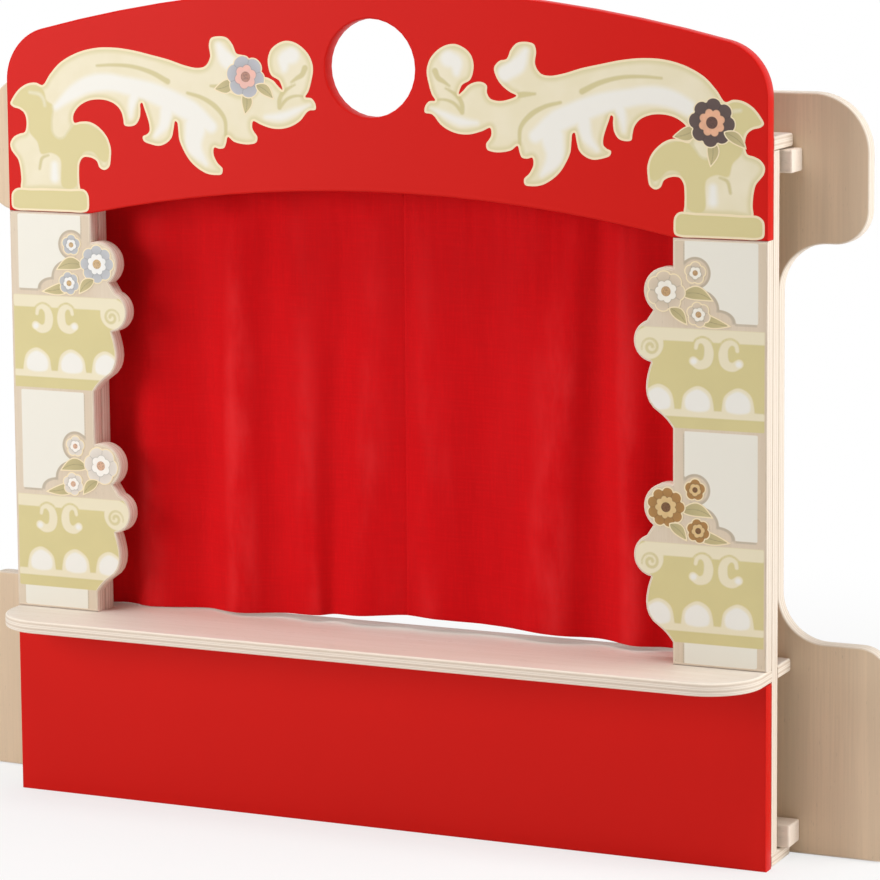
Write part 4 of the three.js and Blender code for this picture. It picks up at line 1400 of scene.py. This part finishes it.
CAMERA_PLACE = (1.4358, -3.0352, 0.9087)
CAMERA_YAW = 24.562
CAMERA_PITCH = 7.561
CAMERA_ROLL = 0.455
SENSOR_WIDTH = 36
PICTURE_WIDTH = 880
PICTURE_LENS = 3735.6
PICTURE_CENTRE_DOWN = 320
FAR_CLIP = 50
LAMPS = {
    "key": ((-1.5, -1.8, 0.9), (0, 0, 0.4), 1.3, 25),
    "side": ((2.6, 0.35, 1.0), (0.2, 0, 0.4), 1.2, 42),
    "top": ((0.0, -0.5, 2.6), (0, 0, 0.4), 1.4, 28),
}
WHITE = (1, 1, 1)
ROOM_LIGHT = (1, 0.985, 0.96)
ROOM_STRENGTH = 0.28
FLOOR_TONE = (0.86, 0.855, 0.845)
FLOOR_SIZE = 9
FLOOR_FADE = (0.35, 1.3, 0.7, 1.0)


def place_camera():
    yaw, pitch, roll = (math.radians(turn) for turn in (CAMERA_YAW, CAMERA_PITCH, CAMERA_ROLL))
    forward = Vector((-math.sin(yaw) * math.cos(pitch), math.cos(yaw) * math.cos(pitch), -math.sin(pitch)))
    level = Vector((math.cos(yaw), math.sin(yaw), 0))
    below = forward.cross(level)
    right = level * math.cos(roll) + below * math.sin(roll)
    down = below * math.cos(roll) - level * math.sin(roll)
    camera = linked("camera", bpy.data.cameras.new("camera"))
    turn = Matrix((right, -down, -forward)).transposed().to_4x4()
    camera.matrix_world = Matrix.Translation(CAMERA_PLACE) @ turn
    camera.data.sensor_width = SENSOR_WIDTH
    camera.data.lens = PICTURE_LENS * SENSOR_WIDTH / PICTURE_WIDTH
    camera.data.shift_y = (PICTURE_CENTRE_DOWN - PICTURE_WIDTH / 2) / PICTURE_WIDTH
    camera.data.clip_end = FAR_CLIP
    bpy.context.scene.camera = camera


def lamp(name, place, aim, width, power):
    light = bpy.data.lights.new(name, "AREA")
    light.shape = "DISK"
    light.size = width
    light.energy = power
    holder = linked(name, light)
    holder.location = place
    holder.rotation_euler = (Vector(aim) - Vector(place)).to_track_quat("-Z", "Y").to_euler()


def white_rays(wiring):
    """1 for the rays that show the background itself, in the picture or in a gloss."""
    seen, gloss, through = (wiring.node("ShaderNodeLightPath", output=name)
                            for name in ("Is Camera Ray", "Is Glossy Ray", "Is Transmission Ray"))
    return seen.maths("MAXIMUM", gloss).maths("MAXIMUM", through)


def white_world():
    """White where it shows, and a soft warm light for everything else."""
    world = bpy.data.worlds.new("studio")
    world.use_nodes = True
    wiring = Wiring(world.node_tree)
    soft = wiring.node("ShaderNodeBackground", values={"Color": ROOM_LIGHT, "Strength": ROOM_STRENGTH})
    white = wiring.node("ShaderNodeBackground", values={"Color": WHITE, "Strength": 1})
    mix = wiring.node("ShaderNodeMixShader", values={0: white_rays(wiring), 1: soft, 2: white})
    wiring.node("ShaderNodeOutputWorld", values={0: mix})
    bpy.context.scene.world = world


def pale_floor():
    """A wide pale floor that stays white in the picture and keeps a faint shadow of the stand."""
    form = bmesh.new()
    bmesh.ops.create_grid(form, x_segments=4, y_segments=4, size=FLOOR_SIZE)
    floor = linked("floor", as_mesh(form, "floor"))
    material = bpy.data.materials.new("pale_floor")
    material.use_nodes = True
    wiring = Wiring(material.node_tree)
    place = wiring.node("ShaderNodeTexCoord", output="Object")
    away = wiring.node("ShaderNodeVectorMath", {"operation": "LENGTH"}, {0: place}, output="Value")
    share = white_rays(wiring) * away.rising(*FLOOR_FADE)
    matt = wiring.node("ShaderNodeBsdfDiffuse", values={"Color": FLOOR_TONE})
    white = wiring.node("ShaderNodeEmission", values={"Color": WHITE})
    mix = wiring.node("ShaderNodeMixShader", values={0: share, 1: matt, 2: white})
    wiring.node("ShaderNodeOutputMaterial", values={0: mix})
    floor.data.materials.append(material)


# One operator for each group of pieces

VENEER_STARTS = {"columns": 1.9, "posts": 4.1, "flat": 7.3, "wings": 12.4}
LACQUER_STEP = 0.7
WING_STEP = 2


class TheaterStep:
    """What every building step of the stand shares."""

    bl_options = {"REGISTER", "UNDO"}


class THEATER_OT_stage(TheaterStep, bpy.types.Operator):
    """Sets up the camera, the lamps, the pale world and the floor"""

    bl_idname = "theater.stage"
    bl_label = "Stage"

    def execute(self, context):
        place_camera()
        context.scene.view_settings.view_transform = "Standard"
        white_world()
        for name, settings in LAMPS.items():
            lamp(name, *settings)
        pale_floor()
        return {"FINISHED"}


class THEATER_OT_lacquered_boards(TheaterStep, bpy.types.Operator):
    """Finishes the arched header and the apron in satin red lacquer"""

    bl_idname = "theater.lacquered_boards"
    bl_label = "Lacquered boards"

    def execute(self, context):
        face = lacquer("red_lacquer", False)
        edge = lacquer("red_lacquer_edge", True)
        for shift, node in enumerate(("header_panel", "apron_panel")):
            board(node, "front", face, edge, BACKWARD, ALONG, LACQUER_STEP * shift)
        return {"FINISHED"}


class THEATER_OT_columns(TheaterStep, bpy.types.Operator):
    """Cuts and prints the two front columns with their balconies"""

    bl_idname = "theater.columns"
    bl_label = "Printed columns"

    def execute(self, context):
        for shift, (word, side) in enumerate(SIDES.items()):
            node = word + "_column_panel"

            def inks(points):
                return {**balcony_inks(points, side), "rim": panel_rim(points, node)}

            board(node, "front", birch_face(), ply_edge("front_ply"), BACKWARD, UPWARD,
                  VENEER_STARTS["columns"] + shift, inks=inks)
        return {"FINISHED"}


class THEATER_OT_plain_boards(TheaterStep, bpy.types.Operator):
    """Finishes the posts, the stage shelf and the boards at the foot and the top"""

    bl_idname = "theater.plain_boards"
    bl_label = "Plain boards"

    def execute(self, context):
        for shift, node in enumerate(("left_post", "right_post")):
            board(node, "front", birch_face(), ply_edge("front_ply"), BACKWARD, UPWARD,
                  VENEER_STARTS["posts"] + shift)
        for shift, node in enumerate(("stage_shelf", "base_board", "top_board")):
            board(node, "front", flat_face(), ply_edge("flat_ply"), UPWARD, ALONG,
                  VENEER_STARTS["flat"] + shift, "flat_rounding")
        return {"FINISHED"}


class THEATER_OT_wings(TheaterStep, bpy.types.Operator):
    """Finishes the two swinging wings in their warmer veneer"""

    bl_idname = "theater.wings"
    bl_label = "Wings"

    def execute(self, context):
        for shift, side in enumerate(SIDES):
            wing = side + "_wing"
            way = self.thickness_way(wing)
            board(wing, wing, wing_face(), ply_edge("front_ply"), way, UPWARD,
                  VENEER_STARTS["wings"] + WING_STEP * shift, "wing_rounding")
        return {"FINISHED"}

    @staticmethod
    def thickness_way(node):
        """The way through a turned board: square to its largest face, and backward."""
        form = whole_form(node)
        normal = max(form.faces, key=lambda one: one.calc_area()).normal.copy()
        form.free()
        return normal if normal.y > 0 else -normal


class THEATER_OT_blocks(TheaterStep, bpy.types.Operator):
    """Rounds the hinge blocks and the rod brackets, and gives the dowels their wood"""

    bl_idname = "theater.blocks"
    bl_label = "Blocks, brackets and dowels"

    least_edge = 0.018
    least_face = 0.00008

    def execute(self, context):
        for side in SIDES:
            for level in ("upper", "lower"):
                self.sanded(f"{side}_{level}_hinge_block", side + "_wing")
        for side in SIDES:
            self.sanded(side + "_rod_bracket", "front")
        for name, node in frame["nodes"].items():
            if "dowel" in name:
                node.data.materials.clear()
                node.data.materials.append(beech())
        return {"FINISHED"}

    def sanded(self, node, body):
        form = whole_form(node)
        rounded(form, outline_edges(form, lambda one: True, self.least_edge), size("block_rounding"))
        shade_form(form, lambda one: one.calc_area() > self.least_face)
        finished(node + "_sanded", as_mesh(form, node + "_sanded"), body, [node], [beech()])


class THEATER_OT_turned_pieces(TheaterStep, bpy.types.Operator):
    """Turns the curtain rod, the hinge pins and the washers"""

    bl_idname = "theater.turned_pieces"
    bl_label = "Rod, pins and washers"

    rod_end = ((0.5, 0.8, 0.93), 0.0016, 0.0022)
    washer_edge = 0.00012
    pin_radius = 0.003
    pin_edge = 0.0006
    head_height = 0.0025
    head_rim = 0.0004
    head_edge = 0.0003

    def execute(self, context):
        self.rod()
        for side in SIDES:
            for level in ("upper", "lower"):
                self.pin(f"{side}_{level}_hinge_pin", level == "upper")
            self.washer(side)
        return {"FINISHED"}

    def rod(self):
        half, _, radius = half_size("curtain_rod")
        shares, depth, reach = self.rod_end
        end = [(radius * share, -half + depth * (1 - math.sqrt(1 - share ** 4))) for share in shares]
        end = [(0, -half), *end, (radius, -half + reach)]
        rod = end + [(r, -h) for r, h in reversed(end)]
        turned_piece("turned_curtain_rod", "curtain_rod", rod, beech(),
                     Matrix.Rotation(math.pi / 2, 4, "Y"))

    def pin(self, node, has_head):
        rim, _, half = half_size(node)
        shank = self.pin_radius
        edge = self.pin_edge
        profile = [(0, -half), (shank - edge, -half), (shank, -half + edge)]
        if has_head:
            head = half - self.head_height
            low = head + self.head_rim
            profile += [(shank, head), (rim - self.head_edge, head), (rim, low), *domed(rim, half - low, low)]
        else:
            profile += [(shank, half - edge), (shank - edge, half), (0, half)]
        turned_piece(node + "_turned", node, profile, zinc_steel())

    def washer(self, side):
        node = side + "_hinge_washer"
        outer, _, half = half_size(node)
        offset = corners(frame["nodes"][node].data) - np.array(middle_of(node))
        inner = float(np.hypot(offset[:, 0], offset[:, 1]).min())
        edge = self.washer_edge
        ring = [(inner, -half + edge), (inner + edge, -half), (outer - edge, -half), (outer, -half + edge),
                (outer, half - edge), (outer - edge, half), (inner + edge, half), (inner, half - edge)]
        turned_piece(side + "_flat_washer", node, ring + ring[:1], zinc_steel())


class THEATER_OT_screws(TheaterStep, bpy.types.Operator):
    """Sets every screw with geometry nodes, as one mesh for each body"""

    bl_idname = "theater.screws"
    bl_label = "Screws"

    def execute(self, context):
        head = screw_head()
        shank = screw_shank()
        tree, sockets = screw_tree()
        for body, nodes in frame["record"]["behaviour"]["bodies"].items():
            screws = sorted(name for name in nodes if "screw" in name)
            if screws:
                set_screws(body + "_screws", body, screws, tree, sockets, head, shank)
        for part in (head, shank):
            bpy.data.objects.remove(part)
        return {"FINISHED"}


SCROLL_PARTS = (("scroll", SCROLL_LINE, CAPITAL_LINE, 1), ("plinth", PLINTH_LINE, PLINTH_LINE, 1.6))


class THEATER_OT_scrolls(TheaterStep, bpy.types.Operator):
    """Prints the leafy scrolls, the capitals and their plinths on the header"""

    bl_idname = "theater.scrolls"
    bl_label = "Header ornaments"

    def execute(self, context):
        for word, side in SIDES.items():
            for kind, outline, body_line, lift in SCROLL_PARTS:
                ring = counter_clockwise(header_line(outline, side, True))
                height = size("print_height") * lift

                def inks(points):
                    return scroll_inks(points, ring, side, body_line)

                printed_piece(f"{word}_{kind}_print", ring, height, size("print_net") / MM, inks,
                              ornament_ink(kind + "_print"))
        return {"FINISHED"}


FLOWER_LIFT = 2.2
LEAF_LIFT = 1.4
LEAF_STEP = 0.0001
LEAF_WIDTH = 13
COLUMN_LEAVES = (((296, -2), (326, -7), 4), ((304, -18), (342, -28), -2), ((285, -14), (302, -29), 2))
COLUMN_FLOWERS = (
    ("left_upper", -1, 0, "grey_petals", 8), ("left_lower", -1, 1, "blush_petals", 6),
    ("right_upper", 1, 0, "sand_petals", 7), ("right_lower", 1, 1, "amber_petals", 9),
)
COLUMN_BLOOMS = (
    ("_flower", 282, 0, 18.4, None, 0.16, 0.4), ("_bud", 312, -19, 11.5, 6, 0.18, 0.2),
    ("_blossom", 309, 17, 10.4, 5, 0.2, 0.9),
)
SCROLL_FLOWERS = (
    ("left_scroll_blossom", (-124, 130), 20, "rose_petals", 6),
    ("right_scroll_blossom", (324, 100), 22, "dusk_petals", 8),
)
SCROLL_LEAF_TURNS = (200, 268, 325)


class THEATER_OT_flowers(TheaterStep, bpy.types.Operator):
    """Prints a flower above each balcony and two blossoms on the scrolls"""

    bl_idname = "theater.flowers"
    bl_label = "Flowers"

    def execute(self, context):
        lift = size("print_height") * FLOWER_LIFT
        for name, side, volute, ink, petals in COLUMN_FLOWERS:
            ink = flower_ink(ink)
            z = VOLUTE_PLACES[volute] + FLOWER_RISE
            for index, (foot, tip, bend) in enumerate(COLUMN_LEAVES):
                foot = (side * foot[0], z + foot[1])
                tip = (side * tip[0], z + tip[1])
                self.nth_leaf(name, index, foot, tip, bend * side)
            for kind, x, rise, radius, count, depth, turn in COLUMN_BLOOMS:
                flower(name + kind, (side * x, z + rise), radius, count or petals, depth, turn, lift, ink)
        for name, (x, z), radius, ink, petals in SCROLL_FLOWERS:
            centre = np.array((x, HEADER_FOOT + z))
            for index, turn in enumerate(SCROLL_LEAF_TURNS):
                way = radius * np.array((math.cos(math.radians(turn)), math.sin(math.radians(turn))))
                self.nth_leaf(name, index, centre + way * 0.6, centre + way * 1.75, 2)
            flower(name, centre, radius, petals, 0.17, 0.3, lift, flower_ink(ink))
        return {"FINISHED"}

    @staticmethod
    def nth_leaf(name, index, foot, tip, bend):
        """A leaf of a flower, a little narrower and higher than the one before."""
        leaf(f"{name}_leaf_{index + 1}", foot, tip, LEAF_WIDTH - index, bend,
             size("print_height") * LEAF_LIFT + LEAF_STEP * index, flower_ink("leaf_print"))


class THEATER_OT_curtains(TheaterStep, bpy.types.Operator):
    """Hangs the two curtains on the rod"""

    bl_idname = "theater.curtains"
    bl_label = "Curtains"

    def execute(self, context):
        for side, folds, seed, hem_ease in CURTAINS:
            low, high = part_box(side + "_curtain")
            inner, outer = (high.x, low.x) if side == "left" else (low.x, high.x)
            name = side + "_hung_curtain"
            mesh, flat = curtain(name, inner, outer, folds, seed, hem_ease)
            node = side + "_curtain"
            piece = finished(name, mesh, node, [node], [curtain_cloth()])
            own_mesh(piece)
        return {"FINISHED"}


STEPS = (
    THEATER_OT_stage, THEATER_OT_lacquered_boards, THEATER_OT_columns, THEATER_OT_plain_boards,
    THEATER_OT_wings, THEATER_OT_blocks, THEATER_OT_turned_pieces, THEATER_OT_screws, THEATER_OT_scrolls,
    THEATER_OT_flowers, THEATER_OT_curtains,
)
GROUPS = {
    "theater_sizes": TheaterSizes, "theater_colours": TheaterColours, "theater_fasteners": TheaterFasteners,
}


class THEATER_PT_panel(bpy.types.Panel):
    """Lists the sizes, the colours and the building steps of the stand"""

    bl_idname = "THEATER_PT_panel"
    bl_label = "Puppet Theater Stand"
    bl_space_type = "VIEW_3D"
    bl_region_type = "UI"
    bl_category = "Theater"

    def draw(self, context):
        for group in GROUPS:
            column = self.layout.column(align=True)
            for name in getattr(context.scene, group).__annotations__:
                column.prop(getattr(context.scene, group), name)
        for step in STEPS:
            self.layout.operator(step.bl_idname)


def register():
    for kind in (*GROUPS.values(), *STEPS, THEATER_PT_panel):
        bpy.utils.register_class(kind)
    for name, kind in GROUPS.items():
        setattr(bpy.types.Scene, name, PointerProperty(type=kind))


def unregister():
    for name in GROUPS:
        delattr(bpy.types.Scene, name)
    for kind in reversed((*GROUPS.values(), *STEPS, THEATER_PT_panel)):
        bpy.utils.unregister_class(kind)


def main():
    register()
    for step in STEPS:
        group, name = step.bl_idname.split(".")
        getattr(getattr(bpy.ops, group), name)()


if __name__ == "__main__":
    main()
